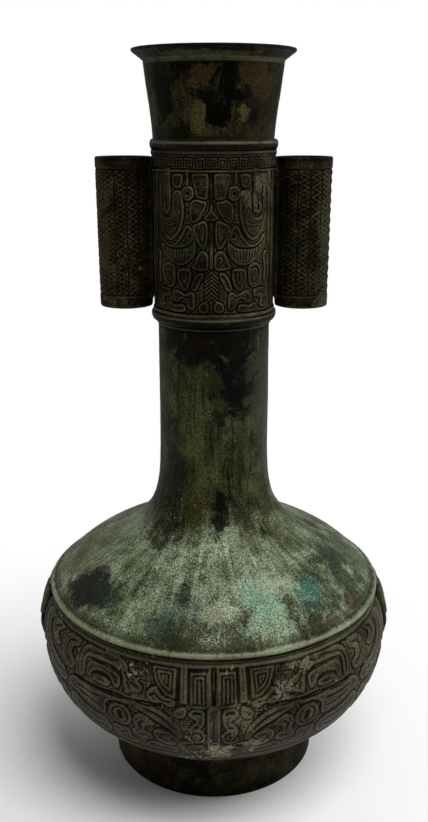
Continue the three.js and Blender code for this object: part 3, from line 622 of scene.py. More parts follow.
sleeveRelief = [
    # line and drops under the frieze
    bar(1, 0.05, (-1, 325.2), (60, 325.2)),
    bar(1.5, -0.05, (11.9, 325.2), (11.9, 319.6)),
    # snout in three plates, brow of the nose between
    plate((1.6, 323.4), (3, 324.2), (8.3, 324.1), (9.5, 322.6), (8.8, 319.4), (7.7, 316.2), (6.8, 313.6), (4.4, 312.9),
        (1.9, 313.4), (1.5, 318)),
    plate((2.2, 311.7), (4.2, 312), (6.8, 312.6), (9.7, 311.6), (10.7, 308.4), (10.5, 304.6), (9.2, 302.3), (7, 302.9),
        (5.2, 304.2), (4.2, 306.4), (2.7, 308.8)),
    plate((2, 302), (3.4, 303.2), (5.8, 302.5), (8.8, 300.9), (8.9, 297.4), (7.1, 293.6), (5.2, 290.8), (3.4, 290.4),
        (2, 293.2), (1.7, 298)),
    cut(0.55, 0.4, (3.2, 301), (3.1, 296), (4.1, 293), (5.7, 295), (7.2, 299.6)),
    cut(0.5, 0.35, (4.7, 300.8), (4.6, 297), (5.3, 296.2), (5.9, 299.8)),
    facet((-3.4, 304.6), (-0.8, 307.4), (0, 310.4), (0.8, 307.4), (3.4, 304.6), (2, 303.2), (-2, 303.2)),
    plate((-1, 286), (-0.7, 290.8), (0, 293), (0.7, 290.8), (1, 286), (0.6, 281.8), (-0.6, 281.8), level=-0.25),
    # eye
    plate(*ring(11.4, 315.4, 3.2), level=0.1),
    nick(1.7, 0.8, (11.3, 315.4), (11.5, 315.4)),
    # brow tongue
    plate((14.6, 323.6), (18.4, 323.8), (20.2, 322.4), (20.1, 319.4), (18.4, 317.6), (15.6, 318), (14.4, 320.6)),
    cut(0.5, 0.3, (15.6, 320.2), (17.2, 319.2), (18.8, 320.6)),
    # hooked bar inside the loop
    bar(2.6, 0, (22.9, 325.2), (22.9, 318), (22.9, 309)),
    band(1.9, 0, (22.6, 309.6), (22.7, 307.6), (24.2, 306.7), (26, 307.2), (26.4, 309.2), (25.6, 310.8)),
    plate((15.2, 316), (14.1, 312), (13.9, 305.5), (15.2, 300), (17.8, 296), (21.4, 293.8), (25.2, 295), (28.4, 299),
        (30.4, 305.5), (30.9, 312), (30.2, 317.4), (28.8, 318.6), (28.4, 312), (28.2, 306.6), (26.6, 304.4),
        (22.8, 304), (20.8, 305.6), (20.4, 309.4), (20.2, 314.6), (18, 316.6)),
    cut(0.55, 0.35, (16.2, 314.4), (15.6, 309), (16, 303.2), (18, 298.6), (21.5, 296), (25, 297.4), (27.8, 302),
        (29.3, 308)),
    cut(0.45, 0.25, (18.4, 302.6), (22.4, 301.6), (26.2, 302.8)),
    cut(0.45, 0.25, (18.8, 300.8), (22.2, 299.8), (25.6, 301)),
    cut(0.45, 0.25, (17.6, 312.6), (18.2, 308.6), (17.4, 305.6)),
    # wing under the loop
    plate((10.3, 300.4), (12.6, 300.8), (14.1, 298.6), (16.2, 295.2), (19.4, 292.3), (22.9, 291.6), (26.6, 293.4),
        (29.2, 296.6), (30.2, 293.4), (28, 288.8), (24.2, 285.2), (19.4, 283), (14.4, 282.8), (10.4, 284.8),
        (8.1, 288.2), (7.6, 292.4), (8.4, 297)),
    cut(1, 0.6, (8.9, 293.8), (11.5, 291.6), (15.5, 290.3), (20, 290), (24, 290.6), (27.6, 292.6)),
    *[nick(0.55, 0.45, (10.6 + 1.9 * k, 288.9 + 0.03 * k * k),
        (11.5 + 1.6 * k, 285.4 + 0.12 * abs(k - 3))) for k in range(9)],
    nick(1.4, 0.6, (10.6, 296.2), (10.9, 296)),
    cut(0.5, 0.35, (12.4, 298.4), (14, 295.2), (16.6, 292.6)),
    # round lobe and spine of chevrons
    plate((1.5, 282.6), (1.6, 286.6), (2.8, 289), (5.2, 289.4), (6.9, 287.4), (8.2, 284.2), (9.8, 281.8), (7.8, 280.8),
        (4.6, 280.6), (2.4, 280.8)),
    cut(0.5, 0.35, (3.2, 286.8), (4.9, 287.2), (5.8, 285.2), (4.8, 283.2)),
    *[bar(0.8, -0.1, (-3, 276.8 - 1.9 * k), (0, 279.6 - 1.9 * k), (3, 276.8 - 1.9 * k)) for k in range(7)],
    # pendant, leaf and outer curls
    plate((10.4, 280.4), (13.6, 281.2), (17.1, 280.4), (17.8, 277), (16.8, 273.8), (14.6, 270.9), (12.6, 271),
        (10.9, 274), (10, 277.2)),
    cut(0.5, 0.35, (12, 279.4), (11.9, 276), (13.7, 273), (15.6, 275.6), (15.7, 279.2)),
    nick(0.6, 0.4, (13.8, 279.2), (13.8, 275.8)),
    plate((4.2, 279.2), (6.6, 279), (8.9, 276), (10, 272.2), (9, 270.6), (6.8, 271.6), (5.4, 274.6), (4.2, 276.8)),
    cut(0.5, 0.35, (5.2, 278), (7.2, 275.6), (8.6, 272.6)),
    plate((19.4, 282), (22.8, 283.6), (26.6, 281.8), (28, 277.6), (26.4, 273.4), (22.6, 271.6), (19.6, 273.2),
        (18.9, 277.6)),
    cut(0.7, 0.5, (20.8, 280.8), (23.6, 281.4), (25.8, 279.2), (25.4, 275.8), (22.8, 274.4), (21.2, 276),
        (22.2, 277.8)),
    plate((29.4, 286.4), (31.8, 288.6), (33.8, 284), (33.8, 277.6), (31.6, 273.2), (29.6, 274.6), (30.2, 279.4)),
    cut(0.5, 0.35, (31.2, 285.6), (32.2, 280.6), (31.2, 276)),
    # bottom row of curls
    plate((8.4, 269.4), (10.4, 270.2), (12.8, 268.8), (15.2, 269.6), (17.4, 270.6), (20.2, 270.2), (21.4, 267.6),
        (20, 265.2), (17.4, 264.9), (15.8, 266.6), (13.6, 266.2), (12.4, 263.6), (10.6, 261.8), (8.6, 262.4),
        (7.9, 265.6)),
    nick(1.3, 0.5, (18.4, 267.8), (18.7, 267.7)),
    cut(0.5, 0.35, (10.2, 263.6), (10, 266.2), (11.4, 267.6), (13.6, 267.6)),
    plate((22.6, 270.6), (26.4, 271.4), (30.6, 270.6), (33.2, 267.2), (32.4, 263.4), (29.4, 261.8), (26.6, 263),
        (27.4, 265.8), (25.4, 267.2), (22.8, 267.4)),
    cut(0.5, 0.35, (24.4, 269.2), (28.4, 269.2), (30.8, 266.8), (29.4, 264.2)),
    plate((13.8, 263.6), (16.8, 263.9), (19.8, 263.4), (23.6, 264.6), (24.6, 262.4), (21.8, 260.6), (16.8, 260.4),
        (13.6, 261.2)),
    plate((1.4, 264.2), (3.6, 265.8), (5.8, 264.4), (6.2, 261.6), (3.8, 260.4), (1.4, 261.2)),
    # columns beside the ears
    plate((32.6, 324), (35.2, 324), (35.6, 312), (35.4, 300), (34, 291.4), (32.8, 297), (33.2, 308), level=-0.1),
    bar(1.2, -0.1, (38, 325), (38, 262)),
    bar(1.8, 0, (-1, 258.6), (60, 258.6)),
]

bowlRelief = [
    # nose groove, its lips and the nose column
    nick(2, 0.9, (0, 101), (0, 84.4)),
    bar(1.1, 0.05, (1.9, 100.2), (1.9, 84.2)),
    plate((-2.6, 83), (-2.9, 76), (-2.7, 68), (-2.9, 60), (-1.8, 54), (1.8, 54), (2.9, 60), (2.7, 68), (2.9, 76),
        (2.6, 83), level=0.25),
    # three nested arches
    bar(0.9, 0, (2.9, 83.6), (2.9, 98.6), (10, 98.6), (10, 84.6)),
    bar(0.9, 0, (4.6, 84.6), (4.6, 96.9), (8.4, 96.9), (8.4, 85.2)),
    bar(1, 0, (6.5, 85), (6.5, 95.4)),
    bar(0.8, 0, (3.6, 82.9), (9.8, 82.9)),
    # bar
    facet((12.1, 101.2), (15.2, 101.2), (15.1, 84.7), (12.2, 84.7), level=0.1),
    nick(1.2, 0.4, (11.2, 100.6), (11.2, 84.6)),
    nick(1.4, 0.4, (16.2, 100.4), (16.2, 86)),
    # triangular shield, nested
    bar(0.95, 0, (18.2, 87.2), (18, 99.6), (28.8, 99.6), (27.2, 95.4), (25.4, 91.6), (21.8, 88.2), (18.2, 86.8)),
    bar(0.85, 0, (20, 90.4), (19.9, 97.9), (26.2, 97.9), (25.2, 94.8), (23.2, 92), (20.2, 90)),
    bar(0.8, 0, (21.9, 93), (21.8, 96.2), (23.8, 96.2), (23.2, 94.4)),
    # angular lobe below it
    plate((17.6, 84.6), (19.6, 86), (22.4, 86.2), (25.2, 88.8), (26.6, 90.8), (30.4, 88.6), (31, 85.2), (27.4, 82.7),
        (23.6, 83.3), (20.6, 81.6), (17.8, 82.4)),
    cut(0.8, 0.5, (20.4, 84.3), (24, 84.9), (27, 87.4), (28.8, 86.4)),
    # scalloped leaf
    plate((33.6, 88.4), (36, 91.6), (38.6, 93.6), (41.4, 94.2), (42.4, 97), (44.8, 99.2), (48, 100.4), (44.6, 93),
        (43.6, 88), (42.4, 84.2), (38.8, 86.2), (36.6, 86)),
    cut(0.9, 0.55, (36.8, 88.8), (40.6, 90.6), (43, 94)),
    cut(0.8, 0.45, (40, 86.6), (41.8, 90)),
    # horn
    plate((46.4, 99.8), (52, 100.6), (60, 100.4), (66.4, 100.2), (70.8, 97.4), (72, 91), (71.2, 84.6), (68.8, 83.4),
        (67.6, 87), (67.8, 92), (66, 95), (58, 95.9), (50, 95.6), (46.2, 94)),
    cut(0.7, 0.4, (48.4, 98.6), (52, 97.4), (55.6, 98.8)),
    cut(0.7, 0.4, (58.4, 98.6), (62.4, 97.6), (66.6, 97.4), (69.4, 93.4), (69.6, 87)),
    plate((46.2, 91.8), (50, 93.4), (58, 94), (64, 93.4), (65.8, 90.2), (65.6, 86), (63.4, 85.4), (62.6, 88.6),
        (58, 90.6), (52, 90), (49.6, 86.6), (47, 85.2), (45.8, 88)),
    plate((51.6, 87.6), (56, 88.6), (60.6, 87.8), (61.4, 85), (56, 84.2), (52, 84.9)),
    cut(0.9, 0.5, (55, 86.4), (57.8, 86.6)),
    # long line under the horn
    cut(1.1, 0.8, (24.5, 81), (32, 81.9), (40, 81.3), (50, 81.9), (60, 81.2), (74, 81.6)),
    # slanting leaf beside the nose
    plate((14.8, 66.4), (16.4, 71.2), (19.8, 75.4), (24.6, 79), (30, 79.8), (35.8, 80), (37.8, 78.2), (33.8, 76.4),
        (28, 73.2), (22.8, 70.6), (19, 67), (16.4, 63.2), (14.4, 63.8)),
    cut(1, 0.5, (18.4, 69.4), (22.6, 74), (28, 77), (32.6, 78.4)),
    cut(1.4, 0.6, (20.6, 67.6), (23.6, 69.2), (27.4, 71.4)),
    # eye
    plate(*ring(45.6, 70.8, 6.2, 6.6), level=0.2),
    cut(0.8, 0.45, *ring(45.6, 70.8, 4.3, 4.7), (49.9, 70.8)),
    cut(2.6, 0.9, (45.7, 72.4), (45.5, 69)),
    # cheek
    plate((30.2, 73.2), (33.6, 74.8), (37, 73.6), (38.6, 70), (38, 65.6), (40.2, 62.4), (38.8, 59), (34.4, 57.8),
        (30.4, 59.4), (30.6, 63), (33.2, 65.4), (31.6, 68.6), (27.6, 69.4)),
    cut(1.2, 0.6, (33.6, 70.6), (35.6, 68.4), (35, 65.8)),
    cut(1.1, 0.5, (33.4, 61.4), (35.8, 61)),
    plate((18.8, 64.4), (22.4, 67), (26.4, 67.4), (28.8, 64.8), (28.2, 60.2), (24.4, 57.2), (20.2, 56.6), (18.4, 59),
        (21.2, 61.4)),
    cut(1.1, 0.55, (22.4, 64.4), (25.4, 63.8), (25.2, 60.8), (22.8, 59.4)),
    # nostril curls
    plate((4.4, 80.2), (6.4, 82), (9.6, 81.2), (11.4, 78.6), (9.8, 76.2), (7.8, 74.6), (9.6, 72.2), (11.4, 69.2),
        (10.6, 66), (12, 63.2), (9.6, 60.4), (5.8, 60.6), (4, 63.6), (4.2, 67.2), (5.8, 69.6), (4.4, 72.4), (4, 76.4)),
    cut(1.8, 0.8, (6.8, 79.2), (8.6, 79.4)),
    cut(1.5, 0.7, (7.4, 71), (8.4, 70.6)),
    cut(0.8, 0.5, *ring(7.8, 64.6, 2.6), (10.4, 64.6)),
    cut(1.4, 0.6, (7.7, 64.8), (8, 64.4)),
    plate((12.8, 82), (16.2, 81.2), (18.2, 78.4), (16.4, 75.8), (13.6, 76.4), (12.4, 79), level=-0.1),
    # lower row
    plate((5.2, 58.4), (8.8, 58.8), (12.2, 61), (15.8, 60.8), (17.2, 57.4), (14.8, 53.6), (10, 51.8), (5.6, 52.6),
        (4.2, 55.6)),
    cut(2, 0.8, (11.4, 58.4), (13, 58)),
    cut(0.9, 0.5, (7, 55.2), (10.6, 54.8)),
    plate((19, 55), (23.4, 55.2), (28.8, 57.4), (33.4, 56), (33.8, 52.2), (28, 50), (21.4, 49.6), (18, 51.4)),
    cut(1.3, 0.6, (30.4, 54.6), (32, 54)),
    cut(0.9, 0.45, (21.4, 52.6), (26.4, 53.2)),
    # jaw
    plate((42, 62.4), (46.6, 62.6), (50.4, 62.6), (51.6, 59), (50.6, 54.6), (46.4, 51.4), (41.4, 51.2), (38.4, 53.8),
        (41.6, 57.2)),
    cut(1, 0.5, (43.6, 58.8), (47.2, 58.4), (47.2, 55)),
    plate((76, 70), (70.8, 67.2), (64, 65.2), (57.4, 64.4), (54, 62), (53.8, 57.4), (56.6, 53.2), (62.4, 50.8),
        (70, 51.4), (77, 54.6), (81, 60.4), (80.4, 66.8)),
    cut(0.9, 0.5, (57.6, 60.8), (63, 61.8), (69.4, 63.2), (75.4, 65.2)),
    cut(1.2, 0.6, (60.4, 56.4), (65.2, 56), (69.8, 57.8)),
    # brow over the eye and cheek plate behind it
    plate((40.2, 79.4), (46, 80), (53, 80), (62, 79.4), (70, 79.8), (76, 80.2), (79.4, 76.6), (77.6, 72.6),
        (70.6, 70.4), (62.6, 68.4), (55.8, 67.2), (53.8, 70.4), (53.4, 75), (49, 78.2), (43.4, 78.2)),
    cut(0.9, 0.5, (57.2, 76.8), (64, 76.4), (71.4, 77.2)),
    cut(0.9, 0.5, (58, 71.6), (64, 72.4), (70.4, 74.2)),
    # ear
    plate((74.4, 99.4), (80, 100.2), (85.6, 98.4), (88, 93), (86.4, 87), (81.6, 83.4), (76.8, 84), (75, 88),
        (78.6, 90.4), (79, 94), (75.2, 96)),
    cut(1, 0.55, (78.4, 97.4), (82.8, 96), (83.6, 91), (80.6, 87)),
    # body with its curled tail
    plate((83.6, 80.4), (90, 82.2), (98, 85.2), (104.4, 89.6), (107.2, 95.2), (105.4, 99.6), (110.4, 100.6),
        (115.6, 98.2), (117.8, 92), (115, 85.2), (108.4, 79.2), (99.6, 74.8), (91, 72.4), (84.8, 72.6), (82, 76.2)),
    cut(0.9, 0.5, (88, 77.4), (97, 79.4), (105, 84), (111, 90.4), (111.4, 96.4)),
    plate((90, 99.8), (96.6, 100.4), (101.6, 98.4), (102.6, 94), (98.8, 90.4), (93.6, 88.8), (90.4, 91.2), (94.4, 93.6),
        (94, 96.6)),
    cut(1, 0.55, (94.8, 98.2), (98.6, 96.6), (98.2, 93.4)),
    plate((119.6, 100), (124.6, 99.8), (127, 94), (126.6, 86), (124, 79), (119.6, 76.2), (117.8, 79.4), (120.8, 85.6),
        (121.8, 92.6)),
    cut(0.8, 0.45, (122.4, 97.4), (124.2, 91.6), (122.8, 84.4), (120.6, 79.6)),
    # leg and claws
    plate((84.6, 69.4), (91.6, 70), (98.6, 71.8), (103.6, 69.8), (104.6, 64.4), (100.8, 61.6), (96.6, 63.6),
        (97.6, 66.6), (93.4, 66.8), (88.2, 64.4), (86, 59.6), (83.4, 63.8)),
    cut(0.9, 0.5, (88.8, 67.8), (95, 69.4), (100.6, 68.4), (100.8, 65)),
    plate((84.4, 56.8), (89, 60.4), (94.6, 60.2), (99.4, 57.4), (98.4, 53.2), (92.4, 50.8), (86.6, 51.4)),
    cut(1, 0.5, (88.6, 56.6), (92.6, 57), (95.4, 54.8)),
    plate((107.4, 74.8), (113, 78), (116.4, 74.2), (115.4, 66.6), (110.4, 61), (104.6, 57.6), (102.6, 60.4),
        (107.2, 64.8), (108.4, 70.4)),
    cut(0.8, 0.45, (112.4, 74.6), (112.6, 69), (108.6, 63.2)),
    plate((102, 54.6), (109, 57.4), (115.6, 61.6), (119.4, 67.6), (122.8, 70.4), (124.8, 64.4), (120.4, 57.2),
        (112, 51.8), (104.4, 50.4)),
    cut(0.8, 0.45, (106.4, 53.6), (113.8, 56.8), (119.8, 62.4)),
    # borders
    bar(1.4, 0.1, (-1, 101.6), (150, 101.6)),
    bar(1.6, 0, (-1, 47.2), (150, 47.2)),
]


print("foot and base plate")

footRing = {
    "rimRadius": 56.5, "topRadius": 57.5, "wall": 4.0, "round": 1.1, "topRound": 0.8, "ledge": 3.0,
    "ledgeLevel": 24.6, "ledgeSlope": 0.5, "chamfer": 1.0, "spacing": 1.6, "steps": 240, "skin": (0.45, 0.2),
    "hollows": (5, 0.25), "outside": (1.5, 3.0), "bottomFade": 1.5, "seed": 11,
}


def makeFootRing():
    f = footRing
    rim, rounding, top = f["rimRadius"], f["topRound"], levels["foot"]
    bore, ledge = f["topRadius"] - f["wall"], f["topRadius"] - f["wall"] - f["ledge"]
    section = arcPoints((rim - f["round"], f["round"]), (f["round"], f["round"]), -90, 0, 4)
    section += arcPoints((f["topRadius"] - rounding, top - rounding), (rounding, rounding), 0, 90, 3)
    section += [(bore, top), (bore, f["ledgeLevel"]), (ledge, f["ledgeLevel"]), (ledge, f["ledgeLevel"] - f["ledge"]),
                (bore - f["ledgeSlope"], f["ledgeLevel"] - 2 * f["ledge"]), (rim - f["wall"], f["chamfer"]),
                (rim - f["wall"] + f["chamfer"], 0)]
    mesh = toMesh(turned(refined(section, f["spacing"]), f["steps"]), "footRing")
    near, far = (bore + depth for depth in f["outside"])
    return pressRound(mesh, f, f["seed"], lambda radius, z: ease(near, far, radius) * ease(0.0, f["bottomFade"], z))


footMaterial = makeBronze("footBronze", {
    "dark": (4, 4, 2), "middle": (25, 23, 9), "pale": (62, 58, 30), "hollow": (5, 5, 3), "crest": (38, 37, 22),
    "speck": (60, 58, 36), "balance": 0.47, "bloom": 0.49, "run": 0.3, "specks": -0.1, "gloss": (0.36, 0.58),
    "wearAndHighlight": 0.6, "sheen": 0.03,
    "patches": [
        ((-34, -46, 12), (14, 14, 9), 0.7, 0.6, (36, 27, 14)), ((6, -57, 6), (20, 12, 4), 0.7, 0.5, (36, 36, 17)),
        ((30, -49, 22), (9, 9, 6), 0.7, 0.5, (32, 19, 9)),
    ],
})
addPiece(makeFootRing(), footMaterial, "dark_bronze", "foot_ring")
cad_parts["base_plate"].data.materials.clear()
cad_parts["base_plate"].data.materials.append(footMaterial)


print("bowl")

# Warp and lift push the drawing along the wall, by their size and reach, and still says where the lift dies out
bowlWall = {
    "thickness": 3.2, "rows": 134, "innerRows": 7, "steps": 640, "nominalRadius": 90.0, "skin": (0.28, 0.12),
    "hollows": (7, 0.16), "outside": (-0.6, -0.1), "sunk": 0.3, "warp": (14.0, 1.1), "lift": (12.0, 0.9),
    "still": ((104, 96), (46, 52)), "innerEnds": (-0.02, 0.12), "border": (46.4, 102.3), "ground": -0.52,
    "spirals": 4.4, "spiralShift": (0.6, 83.2), "spiralDepth": 0.36, "lowerFade": 0.12, "fadeBelow": (72, 60),
    "noseGround": {"across": 30, "from": 82.5, "height": -0.95},
    "worn": {"size": 18.0, "share": 0.4, "edge": (0.5, 0.8)}, "wornBelow": (80, 58), "belowShare": 0.35,
    "moat": {"width": 0.72, "depth": 0.98, "slope": 0.46, "dish": 0.12, "fine": 0.12, "cell": 4.0},
    "sheet": {"across": 142.5, "low": 28, "high": 108, "pitch": 0.2, "soften": 2},
}


def bowlPoint(angle, inwards=0.0):
    rise = wall["bowlCrown"] if angle > 0 else bowlFall
    r = wall["bowlCentre"] + wall["bowlReach"] * math.cos(angle)
    z = levels["equator"] + rise * math.sin(angle)
    normal = np.array([math.cos(angle) / wall["bowlReach"], math.sin(angle) / rise])
    normal /= np.linalg.norm(normal)
    return r - normal[0] * inwards, z - normal[1] * inwards


lowAngle = -math.acos((wall["bowlSeat"] - wall["bowlCentre"]) / wall["bowlReach"])
highAngle = math.asin((levels["ridge"] - levels["equator"]) / wall["bowlCrown"])
bowlFall = (levels["equator"] - levels["foot"]) / math.sin(-lowAngle)


def bowlGround(u, v):
    b = bowlWall
    (low, high), (shiftU, shiftV), nose = b["border"], b["spiralShift"], b["noseGround"]
    depth = b["spiralDepth"] - b["lowerFade"] * ease(*b["fadeBelow"], v)
    height = b["ground"] - depth * squareSpirals(u - shiftU, v - shiftV, b["spirals"], press["turns"])
    height = np.where((u < nose["across"]) & (v > nose["from"]), nose["height"], height)
    return np.where((v > high) | (v < low), 0.0, height)


# Radius, distance outside the bowl's wall, and the wall's normal, for places on or near it
def onBowl(places):
    x, y, z = places.T
    radius = np.hypot(x, y)
    rise = z - levels["equator"]
    half = np.where(rise > 0, wall["bowlCrown"], bowlFall)
    across = np.sqrt(np.clip(1 - (rise / half) ** 2, 0, 1))
    normal = np.stack([across / wall["bowlReach"], rise / half ** 2], axis=1)
    normal /= np.linalg.norm(normal, axis=1)[:, None]
    return radius, radius - (wall["bowlCentre"] + wall["bowlReach"] * across), normal


def pushAlong(places, radius, normal, distance):
    places[:, 0] += places[:, 0] / radius * normal[:, 0] * distance
    places[:, 1] += places[:, 1] / radius * normal[:, 0] * distance
    places[:, 2] += normal[:, 1] * distance


def makeBowlHalf(name, sheet, fromAngle, seed):
    b = bowlWall
    outer = [bowlPoint(a) for a in np.linspace(lowAngle, highAngle, b["rows"])]
    innerHigh, innerLow = highAngle + b["innerEnds"][0], lowAngle + b["innerEnds"][1]
    inner = [bowlPoint(a, b["thickness"]) for a in np.linspace(innerHigh, innerLow, b["innerRows"])]
    mesh = toMesh(turned(outer + inner, b["steps"], fromAngle, 180), name)
    places = readPlaces(mesh)
    radius, beyond, normal = onBowl(places)
    z = places[:, 2].copy()
    turn = np.arctan2(np.abs(places[:, 0]), np.abs(places[:, 1]))
    u = turn * b["nominalRadius"] + wander(places, *b["warp"], seed)
    upper, lower = b["still"]
    v = z + wander(places, *b["lift"], seed + 5) * ease(*upper, z) * ease(*lower, z)
    left = wornAway(places, **b["worn"], seed=seed + 9) * (1 - b["belowShare"] * ease(*b["wornBelow"], z))
    height = readSheet(sheet, u, v) * left - b["sunk"]
    height = (height + castSkin(places, *b["skin"], seed + 20)) * ease(*b["outside"], beyond)
    pushAlong(places, radius, normal, height)
    writePlaces(mesh, places)
    markHollows(mesh, *b["hollows"])
    return mesh


bowlSheet = reliefSheet(bowlRelief, bowlGround, bowlWall["moat"], **bowlWall["sheet"])
bowlMaterial = makeBronze("bowlBronze", {
    "dark": (21, 14, 9), "middle": (49, 38, 26), "pale": (70, 65, 46), "hollow": (7, 5, 3), "crest": (110, 106, 80),
    "upper": ((24, 19, 11), (58, 50, 34), (86, 88, 64)), "upperFrom": (60, 94), "speck": (180, 176, 142),
    "bloom": 0.45, "specks": 0.16, "speckScale": 520.0, "gloss": (0.38, 0.62), "bump": 0.6, "grain": 0.65,
    # Rings: a painted highlight on the top border bar and a painted shadow under the dome's ridge bead
    "sheen": 0.06, "rings": [(101.8, 0.9, 0.5, (90, 88, 64)), (103.9, 0.8, 0.85, (10, 9, 5))],
    "patches": [
        ((4, -82, 53), (9, 12, 4.5), 1.5, 0.7, (150, 146, 118)), ((22, -84, 57), (8, 9, 4), 1.5, 0.5, (140, 138, 108)),
        ((34, -88, 86), (6, 8, 5), 1.5, 0.55, (132, 128, 104)), ((42, -82, 98), (8, 9, 4), 1.3, 0.55, (120, 122, 98)),
        ((13, -94, 78), (7, 7, 8), 1.5, 0.45, (120, 118, 92)), ((-8, -95, 78), (5, 6, 4), 0.9, 0.5, (30, 46, 38)),
    ],
})
for name, fromAngle, seed in (("bowlFront", 180, 31), ("bowlBack", 0, 57)):
    addPiece(makeBowlHalf(name, bowlSheet, fromAngle, seed), bowlMaterial, "relief_bronze", "bowl")


print("shoulder and neck")

shoulder = {
    "wall": 3.0, "ridgeHeight": 4.0, "ridgeProjection": 2.1, "ridgeRound": 0.3, "grooveDepth": 0.9, "grooveRise": 0.4,
    "crownLean": 8.5, "crownRise": 8.2, "turnRadius": 59.5, "turnLevel": 129.6, "turnSlope": 26.0, "turnEase": 15.0,
    "flareEase": 30.6, "neckEase": 38.3, "lap": 2.6, "neckWall": 3.5, "innerIn": 1.1, "innerDown": 0.8,
    "filletHeight": 1.6, "filletProjection": 0.75, "filletDrop": 1.2, "neckRows": 32, "steps": 304,
    "skin": (0.5, 0.14), "hollows": (4, 0.3), "outside": (-1.2, -0.3), "seed": 71,
}


# The dome's outline from its ridge up into the neck
def domeOutline(rim):
    d = shoulder
    slope = math.radians(d["turnSlope"])
    turnPoint = np.array([d["turnRadius"], d["turnLevel"]])
    uphill = np.array([-math.cos(slope), math.sin(slope)])
    start = np.array([rim, levels["ridge"] + d["ridgeHeight"]])
    top = np.array([wall["neck"], levels["neck"]])
    crown = curvePoints(start, start + (-d["crownLean"], d["crownRise"]), turnPoint - d["turnEase"] * uphill,
                        turnPoint, 36)
    sweep = curvePoints(turnPoint, turnPoint + d["flareEase"] * uphill, top - (0, d["neckEase"]), top, 44)
    return crown[1:] + sweep[1:]


def makeShoulderAndNeck():
    d = shoulder
    rim = wall["bowlCentre"] + wall["bowlReach"] * math.cos(highAngle)
    outline = domeOutline(rim)
    neck, top, half = wall["neck"], levels["lowerCollar"], d["ridgeHeight"] / 2
    bead = arcPoints((rim, levels["ridge"] + half), (d["ridgeProjection"], half - d["ridgeRound"]), -90, 90, 16)
    groove = [(rim - d["grooveDepth"], levels["ridge"] + d["ridgeHeight"] + d["grooveRise"])]
    fillet = arcPoints((neck, top - d["filletDrop"]), (d["filletProjection"], d["filletHeight"] / 2), -90, 90, 8)
    tube = [(neck, z) for z in np.linspace(levels["neck"], fillet[0][1], d["neckRows"])[1:-1]]
    bore = neck - d["neckWall"]
    inner = [(max(r - d["wall"] * d["innerIn"], bore), z - d["wall"] * d["innerDown"]) for r, z in outline[6::8]]
    section = [(rim - d["lap"], levels["ridge"])] + bead + groove + outline[1:] + tube + fillet
    section += [(neck, top), (bore, top)] + inner[::-1]
    mesh = toMesh(turned(section, d["steps"]), "shoulderAndNeck")
    return pressRound(mesh, d, d["seed"], outsideOf(outline, *d["outside"]))


